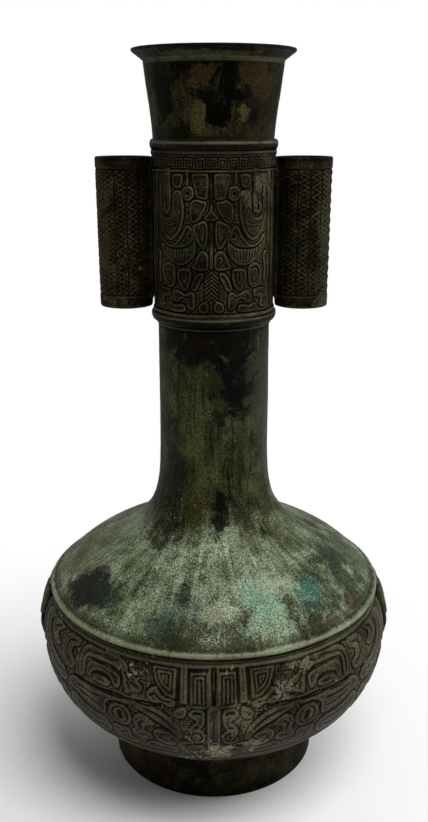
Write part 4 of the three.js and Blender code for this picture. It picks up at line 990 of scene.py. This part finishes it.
shoulderMaterial = makeBronze("shoulderPatinaAndPaintedLight", {
    "dark": (34, 36, 22), "middle": (88, 94, 66), "pale": (146, 158, 130), "hollow": (14, 14, 8),
    # The neck above the dome takes darker tones: partly its own colour, partly painted shade on its upright wall, which
    # the top light reaches less than the dome
    "upper": ((4, 5, 2), (28, 31, 12), (76, 82, 48)), "upperFrom": (132, 164), "crest": (104, 106, 78),
    "speck": (170, 172, 134), "balance": 0.52, "bloom": 0.49, "run": 0.6, "scale": 0.95, "specks": -0.2,
    "gloss": (0.36, 0.58), "bump": 0.35, "hollowDarkening": 0.6, "wearAndHighlight": 0.4, "grain": 0.65, "sheen": 0.06,
    # Rings: a painted highlight on the ridge bead's top, a darker olive band along the dome's foot, painted shade under
    # the ridge bead, and a painted highlight on the neck's top fillet with painted shade beneath it
    "rings": [
        (107.1, 1.1, 0.65, (146, 147, 118)), (110.0, 1.9, 0.55, (38, 39, 24)), (104.9, 0.9, 0.85, (12, 11, 6)),
        (250.2, 0.7, 0.6, (76, 77, 52)), (248.6, 0.7, 0.7, (6, 6, 3)),
    ],
    "patches": spots(
        ((-56, 78, 119), (18, 17, 11), 0.5, 0.95, (20, 22, 18)), ((-44, 80, 121), (10, 9, 8), 1.0, 0.75, (36, 46, 34)),
        ((41, 74, 123), (12, 12, 9), 1.0, 0.7, (58, 104, 92)), ((42, 80, 116), (13, 13, 4), 1.0, 0.7, (22, 44, 36)),
        ((21, 70, 126), (12, 11, 7), 1.1, 0.6, (100, 142, 126)), ((64, 76, 121), (20, 18, 10), 0.9, 0.7, (36, 54, 44)),
        # On the next two lines the patches at 84 and -82 degrees are painted shade on the dome's turned-away sides
        ((-18, 82, 115), (12, 9, 5), 0.9, 0.7, (22, 42, 34)), ((84, 70, 122), (22, 24, 14), 0.9, 0.5, (46, 54, 42)),
        ((-82, 70, 124), (20, 24, 13), 0.9, 0.45, (54, 55, 37)), ((-11, 84, 112), (7, 7, 3.5), 0.9, 0.65, (46, 35, 20)),
        ((38, 85, 111), (20, 10, 3.5), 1.0, 0.65, (50, 41, 22)),
        # The next three patches, pale on the dome's centre and right, are a painted highlight of its sheen
        ((28, 68, 129), (11, 10, 6), 1.1, 0.5, (150, 154, 128)), ((2, 76, 122), (9, 9, 4), 1.2, 0.35, (146, 148, 116)),
        ((22, 80, 118), (14, 12, 9), 1.1, 0.5, (118, 142, 112)),
        ((-10, 78, 124), (13, 10, 6), 1.1, 0.35, (92, 114, 100)), ((-22, 36, 160), (6, 9, 12), 1.2, 0.55, (64, 58, 22)),
        ((5, 38, 157), (5, 9, 17), 0.9, 0.93, (7, 7, 4)), ((-42, 44, 148), (14, 12, 10), 0.9, 0.75, (20, 22, 15)),
        ((-48, 31, 176), (10, 9, 14), 0.8, 0.6, (24, 28, 24)), ((30, 36, 156), (8, 8, 9), 1.0, 0.5, (28, 30, 15)),
        ((60, 83, 113), (7, 7, 4), 0.9, 0.6, (58, 38, 24)), ((32, 28.5, 224), (17, 16, 22), 0.45, 0.97, (2, 4, 3)),
        ((6, 28.5, 206), (5, 6, 6), 0.9, 0.8, (7, 7, 4)), ((-20, 28.5, 226), (6, 7, 6), 1.0, 0.7, (46, 50, 20)),
        ((0, 28.5, 224), (5, 6, 4), 1.0, 0.6, (42, 46, 17)), ((7, 28.5, 212), (3, 5, 4), 0.9, 0.6, (52, 51, 28)),
        ((-5, 28.5, 202), (3, 5, 5), 0.9, 0.6, (38, 27, 12)), ((-6, 28.5, 244), (32, 24, 12), 0.5, 0.95, (3, 3, 2)),
        ((-52, 28.5, 196), (8, 10, 12), 0.9, 0.5, (15, 17, 13)),
        # The patch at 66 degrees is a painted reflection: a light upright band down the neck's right side
        ((66, 28.5, 208), (12, 14, 30), 0.9, 0.55, (58, 64, 44)), ((-16, 28.5, 245), (6, 6, 4), 1.0, 0.5, (28, 15, 7)),
    ),
})
addPiece(makeShoulderAndNeck(), shoulderMaterial, "green_bronze", "shoulder_dome", "lower_neck")


print("collars and mouth")

collars = {
    "bore": 27.1, "steps": 192, "root": 30.0, "crest": 3.1, "rootFade": 0.6, "spacing": 1.2, "skin": (0.2, 0.16),
    "hollows": (3, 0.3),
}


def makeCollar(name, level, height, radius, seed):
    c = collars
    root, crest = c["root"], level + c["crest"]
    bead = arcPoints((root, crest), (radius - root, c["crest"]), -90, 0, 12)
    bead += arcPoints((root, crest), (radius - root, height - c["crest"]), 0, 90, 9)[1:]
    section = refined([(c["bore"], level)] + bead + [(c["bore"], level + height)], c["spacing"])
    mesh = toMesh(turned(section, c["steps"]), name)
    return pressRound(mesh, c, seed, lambda distance, z: ease(root, root + c["rootFade"], distance))


mouthTrumpet = {
    "base": 29.7, "crease": 33.9, "lip": 39.5, "under": 4.0, "edge": 1.6, "wall": 3.0, "bore": 25.0, "spacing": 1.6,
    "steps": 240, "skin": (0.3, 0.14), "hollows": (3, 0.22), "outside": (-1.2, -0.4), "seed": 97,
}


def makeMouthTrumpet():
    m = mouthTrumpet
    top, base, half = levels["mouth"], levels["trumpet"], m["edge"] / 2
    under, innerCrease = top - m["edge"], m["crease"] - m["wall"]
    crease = under - m["under"]
    body = curvePoints((m["base"], base), (m["base"] + 0.6, base + 12), (m["crease"] - 1.0, crease - 10),
                       (m["crease"], crease), 18)
    flare = curvePoints((m["crease"], crease), (m["crease"] + 1.0, crease + 1.1), (m["lip"] - 2.6, under - 1.7),
                        (m["lip"] - 0.4, under), 8)
    edge = arcPoints((m["lip"] - 0.8, top - half), (0.8, half), -70, 90, 6)
    throat = curvePoints((m["lip"] - 2.2, top - 0.3), (m["crease"] - 0.6, top - 1.8),
                         (innerCrease + 0.5, crease + 1.5), (innerCrease, crease - 5), 9)
    section = body + flare[1:] + edge + throat + [(m["bore"] + 1.2, base + 6), (m["bore"] + 0.4, base)]
    mesh = toMesh(turned(refined(section, m["spacing"]), m["steps"]), "mouthTrumpet")
    return pressRound(mesh, m, m["seed"], outsideOf(body, *m["outside"]))


collarMaterial = makeBronze("collarBronze", {
    "dark": (7, 6, 3), "middle": (24, 21, 11), "pale": (58, 56, 36), "hollow": (4, 4, 2), "crest": (78, 75, 52),
    "speck": (96, 94, 62), "balance": 0.48, "bloom": 0.4, "gloss": (0.34, 0.54), "bump": 0.4, "wearAndHighlight": 0.4,
    # Rings: painted highlights on the tops of both collar beads and painted shade on their undersides
    "rings": [
        (255.2, 0.7, 0.5, (92, 88, 62)), (252.4, 1.4, 0.8, (5, 5, 3)), (338.2, 0.8, 0.45, (110, 110, 84)),
        (335.4, 1.0, 0.6, (10, 9, 5)),
    ],
})
mouthMaterial = makeBronze("mouthPatinaAndPaintedLight", {
    "dark": (3, 4, 2), "middle": (24, 21, 9), "pale": (60, 58, 32), "hollow": (5, 5, 3), "crest": (60, 61, 40),
    "speck": (84, 82, 52), "bloom": 0.46, "run": 0.4, "scale": 1.35, "shift": (0.013, 0.02, 0.004), "bump": 0.45,
    "hollowDarkening": 0.4, "wearAndHighlight": 0.3, "sheen": 0.03,
    # Rings: a painted highlight on the flare under the lip, a dark line on the lip's top edge, and a dark line where
    # the trumpet meets the collar
    "rings": [
        (374.6, 1.4, 0.65, (100, 101, 72)), (380.2, 1.1, 0.9, (6, 6, 5)), (340.6, 0.8, 0.6, (6, 6, 3)),
    ],
    "patches": spots(
        ((-10, 33, 366), (11, 9, 7), 1.2, 0.85, (56, 45, 21)), ((42, 33, 367), (12, 9, 8), 1.2, 0.75, (50, 38, 20)),
        ((12, 33, 368), (3.5, 5, 8), 0.6, 0.95, (4, 4, 2)), ((-48, 32, 358), (7, 8, 14), 0.6, 0.92, (4, 5, 3)),
        ((3, 31.4, 350.5), (7.5, 7, 6.5), 0.9, 0.98, (2, 2, 1)), ((-5, 32, 359), (6, 6, 4.5), 0.9, 0.92, (5, 4, 2)),
        ((18, 32, 359), (7, 6, 4.5), 1.0, 0.95, (3, 3, 2)), ((27, 31.4, 351), (4.6, 5, 5.5), 0.8, 0.9, (68, 65, 36)),
        # The patch at -64 degrees is a painted highlight down the trumpet's left edge, and the one at -14 degrees under
        # the lip is a painted highlight on the crease
        ((-13, 31.4, 349), (3, 5, 8), 0.7, 0.9, (66, 65, 33)), ((-64, 31, 352), (4, 4, 10), 0.7, 0.6, (60, 64, 42)),
        ((-14, 36, 376.5), (26, 10, 1.8), 0.6, 0.6, (74, 77, 50)), ((30, 31, 343), (12, 8, 3), 0.8, 0.6, (40, 29, 14)),
    ),
})
for place, height, radius, seed in (("lower", 5.3, 31.9, 101), ("upper", 5.2, 31.5, 103)):
    name = place + "Collar"
    addPiece(makeCollar(name, levels[name], height, radius, seed), collarMaterial, "olive_bronze", place + "_collar")
addPiece(makeMouthTrumpet(), mouthMaterial, "olive_bronze", "mouth_trumpet")


print("sleeve")

sleeveWall = {
    "bore": 27.1, "rows": 236, "steps": 320, "turn": 1.2, "outside": (-0.6, -0.1), "skin": (0.12, 0.08),
    "hollows": (7, 0.14), "sunk": 0.1, "warp": (7.0, 0.7), "lift": (8.0, 0.6), "drawn": (258.0, 333.9),
    "still": (333, 329), "ground": -0.5, "spirals": 3.0, "spiralFoot": 258, "spiralDepth": 0.3,
    "noseGround": {"across": 1.3, "from": 280, "to": 324.6, "height": -1.05},
    "frieze": {"low": 325.6, "high": 332.6, "height": -0.08, "depth": 0.55, "spirals": 5.4, "shift": (2.6, 326.2),
               "turns": 2.0},
    "moat": {"width": 0.8, "depth": 1.0, "slope": 0.34, "dish": 0.12, "fine": 0.12, "cell": 2.7},
    "sheet": {"across": 51, "low": 256, "high": 335, "pitch": 0.15, "soften": 1},
}


def sleeveGround(u, v):
    s, nose, frieze = sleeveWall, sleeveWall["noseGround"], sleeveWall["frieze"]
    height = s["ground"] - s["spiralDepth"] * squareSpirals(u, v - s["spiralFoot"], s["spirals"], press["turns"])
    height = np.where((u < nose["across"]) & (v < nose["to"]) & (v > nose["from"]), nose["height"], height)
    shiftU, shiftV = frieze["shift"]
    keys = squareSpirals(u + shiftU, v - shiftV, frieze["spirals"], frieze["turns"])
    height = np.where(v > frieze["low"], frieze["height"] - frieze["depth"] * keys, height)
    return np.where(v > frieze["high"], 0.0, height)


def makeSleeveHalf(name, sheet, fromAngle, seed):
    s, radius = sleeveWall, wall["sleeve"]
    low, high = levels["sleeve"], levels["upperCollar"]

    def relief(places):
        x, y, z = places.T
        turn = np.abs(np.arctan2(x * np.sign(-y + 1e-9), np.abs(y)) * radius + s["turn"])
        lift = wander(places, *s["lift"], seed + 5) * ease(*s["still"], z)
        v = np.interp(z, (low, high), s["drawn"]) + lift
        return readSheet(sheet, np.abs(turn + wander(places, *s["warp"], seed)), v) - s["sunk"]

    outer = [(radius, z) for z in np.linspace(low, high, s["rows"])]
    mesh = toMesh(turned(outer + [(s["bore"], high), (s["bore"], low)], s["steps"], fromAngle, 180), name)
    near, far = (radius + depth for depth in s["outside"])
    return pressRound(mesh, s, seed + 20, lambda distance, z: ease(near, far, distance), relief)


sleeveSheet = reliefSheet(sleeveRelief, sleeveGround, sleeveWall["moat"], **sleeveWall["sheet"])
sleeveMaterial = makeBronze("sleeveBronze", {
    "dark": (12, 9, 5), "middle": (36, 29, 16), "pale": (64, 56, 33), "hollow": (2, 2, 1), "crest": (104, 96, 70),
    "speck": (110, 102, 72), "balance": 0.5, "scale": 1.7, "speckScale": 700.0, "gloss": (0.34, 0.6), "bump": 0.55,
    "hollowDarkening": 0.92, "grain": 0.7, "rings": [(330.6, 6.4, 0.55, (10, 8, 4))],
    "patches": [
        ((-13, -28, 290), (8, 8, 6), 0.8, 0.6, (24, 36, 24)), ((15, -27, 288), (8, 8, 5), 0.8, 0.5, (28, 38, 24)),
        ((25, -19, 320), (5, 7, 7), 1.9, 0.5, (100, 98, 74)), ((17, -26, 313), (5, 6, 4), 1.4, 0.5, (84, 80, 58)),
        ((-28, -14, 300), (7, 9, 26), 1.0, 0.5, (30, 36, 26)), ((2, -31, 268), (10, 6, 9), 1.2, 0.5, (13, 11, 7)),
    ],
})
for name, fromAngle, seed in (("sleeveFront", 180, 131), ("sleeveBack", 0, 157)):
    addPiece(makeSleeveHalf(name, sleeveSheet, fromAngle, seed), sleeveMaterial, "relief_bronze", "neck_sleeve")


print("ears")

earTube = {
    "centre": 44.5, "top": 331.2, "bottom": 258.0, "topRadius": 14.0, "bottomRadius": 13.5, "wall": 2.0, "rows": 200,
    "steps": 240, "skin": (0.2, 0.1), "hollows": (6, 0.12), "outside": (-0.9, -0.2), "endFade": 0.8, "endDrop": 0.3,
    "warp": (7.0, 0.7), "lift": (6.0, 0.8), "worn": {"size": 11.0, "share": 0.5, "edge": (0.5, 0.8)},
    "sleeveGap": 0.3,
}

# Both zigzags run between the uprights: shares of a column, then line widths and depths in millimetres
zigzags = {
    "columns": 14, "shift": 2.2, "period": 4.7, "band": (264.4, 325.6), "from": 0.16, "reach": 0.68, "slant": 0.55,
    "first": (0.16, 0.6), "second": (0.06, 0.42), "uprights": (0.1, 0.45), "ground": 0.4, "uprightDepth": 0.3,
    "frameDepth": 0.45, "frame": (0.2, 0.6), "bandFade": 0.3,
}


# Raised lines of the ears on a sunken ground: zigzags in upright columns, with a cut line between the columns
def earHeight(u, v):
    e = zigzags
    low, high = e["band"]
    width = 2 * math.pi * earTube["bottomRadius"] / e["columns"]
    across = ((u - e["shift"]) / width) % 1
    other = np.floor((u - e["shift"]) / width) % 2
    uprights = np.minimum(across, 1 - across) * width
    swing = np.abs(((v / e["period"] + 0.5 * other) % 1) * 2 - 1)
    first = np.abs(across - e["from"] - e["reach"] * swing) * width * e["slant"]
    second = np.abs(across - (1 - e["from"]) + e["reach"] * swing) * width * e["slant"]
    line = np.maximum(1 - ease(*e["first"], first), (1 - ease(*e["second"], second)) * (0.3 + 0.5 * other))
    height = -e["ground"] * (1 - line) - e["uprightDepth"] * (1 - ease(*e["uprights"], uprights))
    soft = e["bandFade"]
    inside = ease(low - soft, low + soft, v) * ease(high + soft, high - soft, v)
    toFrame = np.minimum(np.abs(v - low), np.abs(v - high))
    return np.minimum(height * inside, -e["frameDepth"] * (1 - ease(*e["frame"], toFrame)))


def makeEarTube(name, side, seed):
    e = earTube
    low, high, lowRadius, highRadius = e["bottom"], e["top"], e["bottomRadius"], e["topRadius"]
    outer = [(lowRadius + (highRadius - lowRadius) * t, low + (high - low) * t) for t in np.linspace(0, 1, e["rows"])]
    lowBore, highBore = lowRadius - e["wall"], highRadius - e["wall"]
    section = outer + [(outer[-1][0] - 0.6, high), (highBore + 0.4, high - 0.3), (highBore, high - 1.2),
                       (highBore, high - 20), (lowBore, low + 1.0), (lowBore + 0.5, low)]
    bm = turned(section, e["steps"])
    bmesh.ops.translate(bm, verts=bm.verts, vec=(side * e["centre"] * mm, 0, 0))
    mesh = toMesh(bm, name)
    places = readPlaces(mesh)
    x, y, z = places[:, 0] - side * e["centre"], places[:, 1], places[:, 2]
    radius = np.hypot(x, y)
    outside = outsideOf([(lowRadius, low), (highRadius, high)], *e["outside"])(radius, z)
    turn = np.arctan2(x, -y) * lowRadius + wander(places, *e["warp"], seed + 3)
    left = wornAway(places, **e["worn"], seed=seed + 7)
    height = earHeight(turn, z + wander(places, *e["lift"], seed)) * left
    ends = ease(0, e["endFade"], z - low) * ease(0, e["endFade"], high - z)
    height = height + castSkin(places, *e["skin"], seed + 20) - e["endDrop"] * (1 - ends)
    factor = 1 + height * outside / radius
    places[:, 0], places[:, 1] = side * e["centre"] + x * factor, y * factor
    toSleeve = wall["sleeve"] + e["sleeveGap"] - np.hypot(places[:, 0], places[:, 1])
    places[:, 0] += side * np.clip(toSleeve, 0, None)
    writePlaces(mesh, places)
    markHollows(mesh, *e["hollows"])
    return mesh


earPad = {
    "width": 11.0, "inset": 4.0, "intoSleeve": 0.6, "intoEar": 1.6, "bevel": 0.4, "longEdge": 20, "cuts": 24,
    "wander": (5.0, 0.3), "seed": 211, "hollows": (2, 0.3),
}


# The pad that fills the angle between ear and sleeve
def makeEarPad(name, side):
    e, p = earTube, earPad
    low, high = e["bottom"] + p["inset"], e["top"] - p["inset"]
    inner, outer = wall["sleeve"] - p["intoSleeve"], e["centre"] - e["bottomRadius"] + p["intoEar"]
    bm = bmesh.new()
    bmesh.ops.create_cube(bm, size=1.0)
    bmesh.ops.scale(bm, vec=((outer - inner) * mm, p["width"] * mm, (high - low) * mm), verts=bm.verts)
    bmesh.ops.translate(bm, verts=bm.verts, vec=(side * (inner + outer) / 2 * mm, 0, (low + high) / 2 * mm))
    bmesh.ops.bevel(bm, geom=bm.edges, offset=p["bevel"] * mm, offset_type="OFFSET", segments=2, profile=0.5,
                    affect="EDGES", material=-1)
    longEdges = [edge for edge in bm.edges if edge.calc_length() > p["longEdge"] * mm]
    bmesh.ops.subdivide_edges(bm, edges=longEdges, cuts=p["cuts"], use_grid_fill=True)
    bmesh.ops.recalc_face_normals(bm, faces=bm.faces)
    mesh = toMesh(bm, name)
    places = readPlaces(mesh)
    places[:, 1] += wander(places, *p["wander"], p["seed"])
    writePlaces(mesh, places)
    markHollows(mesh, *p["hollows"])
    return mesh


earMaterial = makeBronze("earBronze", {
    "dark": (10, 9, 4), "middle": (34, 29, 16), "pale": (64, 58, 36), "hollow": (3, 3, 2), "crest": (74, 67, 44),
    "speck": (96, 88, 56), "run": 0.2, "scale": 1.6, "specks": 0.0, "gloss": (0.38, 0.6), "hollowDarkening": 0.85, "grain": 0.7,
    # Rings: a dark brown band below the rim, and painted shade along the rim's edge
    "sheen": 0.03, "rings": [(328.0, 3.4, 0.6, (26, 14, 8)), (330.6, 1.6, 0.9, (4, 4, 3))],
    "patches": [
        ((42, -13, 268), (9, 9, 7), 0.8, 0.6, (36, 24, 14)), ((36, -11, 288), (6, 6, 5), 0.9, 0.5, (15, 34, 27)),
        ((-46, -13, 327), (10, 9, 4), 0.8, 0.5, (30, 15, 9)),
        # This patch and the first on the next line are painted shade: black over each ear's mouth and rim
        ((-44.5, 0, 332), (14.6, 14.6, 2.6), 0.2, 0.95, (3, 3, 2)),
        # From the second patch on this line: painted shadow in each ear's crevice toward the sleeve, and painted light
        # on each ear's outer side
        ((44.5, 0, 332), (14.6, 14.6, 2.6), 0.2, 0.95, (3, 3, 2)), ((-32, -9, 295), (9, 9, 60), 0.4, 0.85, (3, 3, 2)),
        ((-56, -8, 288), (8, 9, 40), 1.2, 0.4, (82, 72, 48)), ((31, -8, 295), (6, 7, 60), 0.4, 0.7, (5, 5, 3)),
        ((56, -9, 290), (5, 7, 34), 1.3, 0.3, (84, 84, 60)),
    ],
})
for word, side, seed in (("Left", -1, 171), ("Right", 1, 191)):
    node = "ear_tube_" + word.lower()
    addPiece(makeEarTube("earTube" + word, side, seed), earMaterial, "dark_bronze", node)
    addPiece(makeEarPad("earPad" + word, side), earMaterial, "dark_bronze", node)


print("side masks")

sideMask = {
    "low": 67.8, "high": 104.2, "gap": 0.3, "wall": 0.4, "chin": 0.1, "brow": 1.6, "rows": 110, "steps": 96,
    "sweep": 18.0, "frontFrom": (0.05, 0.3), "edge": (-0.6, 0.5), "reliefShare": 0.6, "skin": (0.08, 0.08),
    "hollows": (5, 0.16), "heights": [67.8, 69.5, 74.0, 80.0, 83.0, 86.0, 92.0, 98.0, 102.0, 104.2],
    "halfWidths": [3.6, 6.2, 9.4, 11.8, 10.8, 12.8, 14.4, 15.0, 14.4, 11.4],
    "moat": {"width": 0.8, "depth": 0.1, "slope": 0.5, "dish": 0.1, "fine": 0.06, "cell": 3.0},
    "sheet": {"across": 17, "low": 66, "high": 107, "pitch": 0.15, "soften": 2},
}

maskRelief = [
    # horns or ears at the top corners
    plate((5.4, 101), (7, 104), (10.6, 105), (14, 103.4), (15, 99.4), (13.4, 95.8), (10, 95.2), (7.8, 97.4),
        (8.4, 100.2), level=1),
    cut(1.2, 0.6, (8.6, 102), (11.6, 102.2), (12.6, 99.2), (10.8, 97.6)),
    # brow, eye and pupil
    plate((1.6, 93.2), (4.4, 95.6), (9, 95), (13.2, 93), (14.2, 90.2), (11.4, 90.4), (7, 92.2), (3.2, 91.2), level=0.9),
    cut(0.7, 0.35, (4, 93.6), (8.4, 93.4), (12.2, 91.6)),
    plate(*ring(7.6, 87.8, 3.9, 2.9), level=1.1),
    nick(2, 0.8, (7.2, 87.8), (8.2, 87.8)),
    # nose with its nostrils
    plate((-1.7, 99.4), (-2, 92), (-2.2, 85.4), (-3.4, 80.6), (-3.2, 77), (0, 75.8), (3.2, 77), (3.4, 80.6),
        (2.2, 85.4), (2, 92), (1.7, 99.4), (0, 101.4), level=1.3),
    nick(0.7, 0.4, (0, 98), (0, 87)),
    plate(*ring(4.9, 78.4, 2.3, 2), level=0.8),
    nick(1.4, 0.7, (4.7, 78.2), (5.2, 78.6)),
    # cheek and jaw
    plate((6.2, 83.6), (9.6, 84.2), (11.4, 81.2), (9.8, 77.4), (7.6, 74.8), (6.8, 77.6), (7.6, 80), level=0.5),
    cut(1.1, 0.7, (0, 73.8), (3.6, 74.2), (6.2, 75.6)),
    plate((-4, 72.2), (0, 71.6), (4, 72.2), (5.2, 70.4), (3, 68.9), (-3, 68.9), (-5.2, 70.4), level=0.4),
]


# A mask with broad horns, a notch under the eyes and a narrow chin, as its half width follows its height
def makeSideMask(name, side, sheet, seed):
    s = sideMask
    angles = [math.asin((z - levels["equator"]) / (wall["bowlCrown"] if z > levels["equator"] else bowlFall))
              for z in np.linspace(s["low"], s["high"], s["rows"])]
    front = [bowlPoint(a, -s["gap"] - s["wall"]) for a in angles]
    back = [bowlPoint(a, -s["gap"]) for a in angles[::-12]]
    middle = 0 if side > 0 else 180
    mesh = toMesh(turned(front + back, s["steps"], middle - s["sweep"] / 2, s["sweep"]), name)
    places = readPlaces(mesh)
    z = places[:, 2].copy()
    radius, beyond, normal = onBowl(places)
    share = np.arctan2(places[:, 1], side * places[:, 0]) / math.radians(s["sweep"] / 2)
    halfWidth = np.interp(z, s["heights"], s["halfWidths"])
    turn = share * halfWidth / radius
    places[:, 0], places[:, 1] = side * radius * np.cos(turn), radius * np.sin(turn)
    near, far = (s["gap"] + depth for depth in s["frontFrom"])
    border = np.minimum((1 - np.abs(share)) * halfWidth, np.minimum(z - s["low"], s["high"] - z))
    crown = s["chin"] + (s["brow"] - s["chin"]) * (z - s["low"]) / (s["high"] - s["low"])
    height = crown + readSheet(sheet, np.abs(share * halfWidth), z) * s["reliefShare"]
    height = height * ease(*s["edge"], border) + castSkin(places, *s["skin"], seed)
    pushAlong(places, radius, normal, height * ease(near, far, beyond))
    writePlaces(mesh, places)
    markHollows(mesh, *s["hollows"])
    return mesh


maskSheet = reliefSheet(maskRelief, lambda u, v: np.zeros(u.shape), sideMask["moat"], **sideMask["sheet"])
for word, side, seed in (("Left", -1, 221), ("Right", 1, 241)):
    node = "side_mask_" + word.lower()
    addPiece(makeSideMask("sideMask" + word, side, maskSheet, seed), bowlMaterial, "relief_bronze", node)


print("stage, lights and camera")

stage = {
    "floorSize": 8.0, "floorTone": (0.96, 0.98), "fadeCentre": (0.07, 0.06, 0.0), "fade": (0.02, 0.33),
    "worldSpan": (-0.5, 0.7), "worldTone": (0.05, 0.6), "worldStrength": 0.6,
}
white = (1, 1, 1, 1)


def makeFloor():
    bm = bmesh.new()
    bmesh.ops.create_grid(bm, x_segments=4, y_segments=4, size=stage["floorSize"] / 2)
    floor = bpy.data.objects.new("studioFloor", toMesh(bm, "studioFloor"))
    scene.collection.objects.link(floor)
    material = bpy.data.materials.new("studioPaper")
    tree = startNodes(material)
    place = field("TexCoord", {}, "Object", tree)
    tone = grey(fade(noise(place, "fibres"), 0.3, 0.7, *stage["floorTone"]))
    paper = field("BsdfPrincipled", {"Base Color": tone, "Roughness": 0.9, "Specular IOR Level": 0.0})
    glow = field("Emission", {"Color": white, "Strength": 1.0}, tree=tree)
    fromCentre = vectorMath("ADD", {0: place, 1: stage["fadeCentre"]})
    far = fade(vectorMath("LENGTH", {0: fromCentre}, "Value"), *stage["fade"])
    seen = field("LightPath", {}, "Is Camera Ray", tree)
    addNode("OutputMaterial", {"Surface": field("MixShader", {0: far * seen, 1: paper, 2: glow})})
    floor.data.materials.append(material)


# White to the camera, brighter behind the vase than in front of it for its own light
def makeWorld():
    world = bpy.data.worlds.new("studio")
    scene.world = world
    tree = startNodes(world)
    depth = split(field("TexCoord", {}, "Generated", tree))[1]
    behind = grey(fade(depth, *stage["worldSpan"], *stage["worldTone"]))
    light = field("Background", {"Color": behind, "Strength": stage["worldStrength"]})
    plain = field("Background", {"Color": white, "Strength": 1.0}, tree=tree)
    seen = field("LightPath", {}, "Is Camera Ray", tree)
    addNode("OutputWorld", {"Surface": field("MixShader", {0: seen, 1: light, 2: plain})})


# Place, aim, size and power of each lamp
softboxes = {
    "topBox": ((0.2, -0.32, 0.95), (0.0, 0.0, 0.15), (0.6, 0.5), 7.5),
    "rightBox": ((0.75, 0.05, 0.45), (0.0, 0.0, 0.2), (0.35, 0.7), 1.6),
    "leftBox": ((-0.8, 0.15, 0.4), (0.0, 0.0, 0.2), (0.3, 0.7), 0.5),
}


def addSoftbox(name, place, aim, size, power):
    lamp = bpy.data.lights.new(name, "AREA")
    lamp.shape = "RECTANGLE"
    lamp.size, lamp.size_y = size
    lamp.energy = power
    holder = bpy.data.objects.new(name, lamp)
    scene.collection.objects.link(holder)
    holder.location = place
    holder.rotation_euler = (mathutils.Vector(aim) - mathutils.Vector(place)).to_track_quat("-Z", "Y").to_euler()


view = {"lens": 41.17, "shift": 0.0003, "place": (0.0, -0.4774, 0.3493), "tilt": 72.67}


def addCamera():
    lens = bpy.data.cameras.new("camera")
    lens.lens = view["lens"]
    lens.shift_x = view["shift"]
    camera = bpy.data.objects.new("camera", lens)
    scene.collection.objects.link(camera)
    camera.location = view["place"]
    camera.rotation_euler = (math.radians(view["tilt"]), 0.0, 0.0)
    scene.camera = camera


makeFloor()
makeWorld()
for name, lamp in softboxes.items():
    addSoftbox(name, *lamp)
addCamera()
scene.view_settings.view_transform = "Standard"
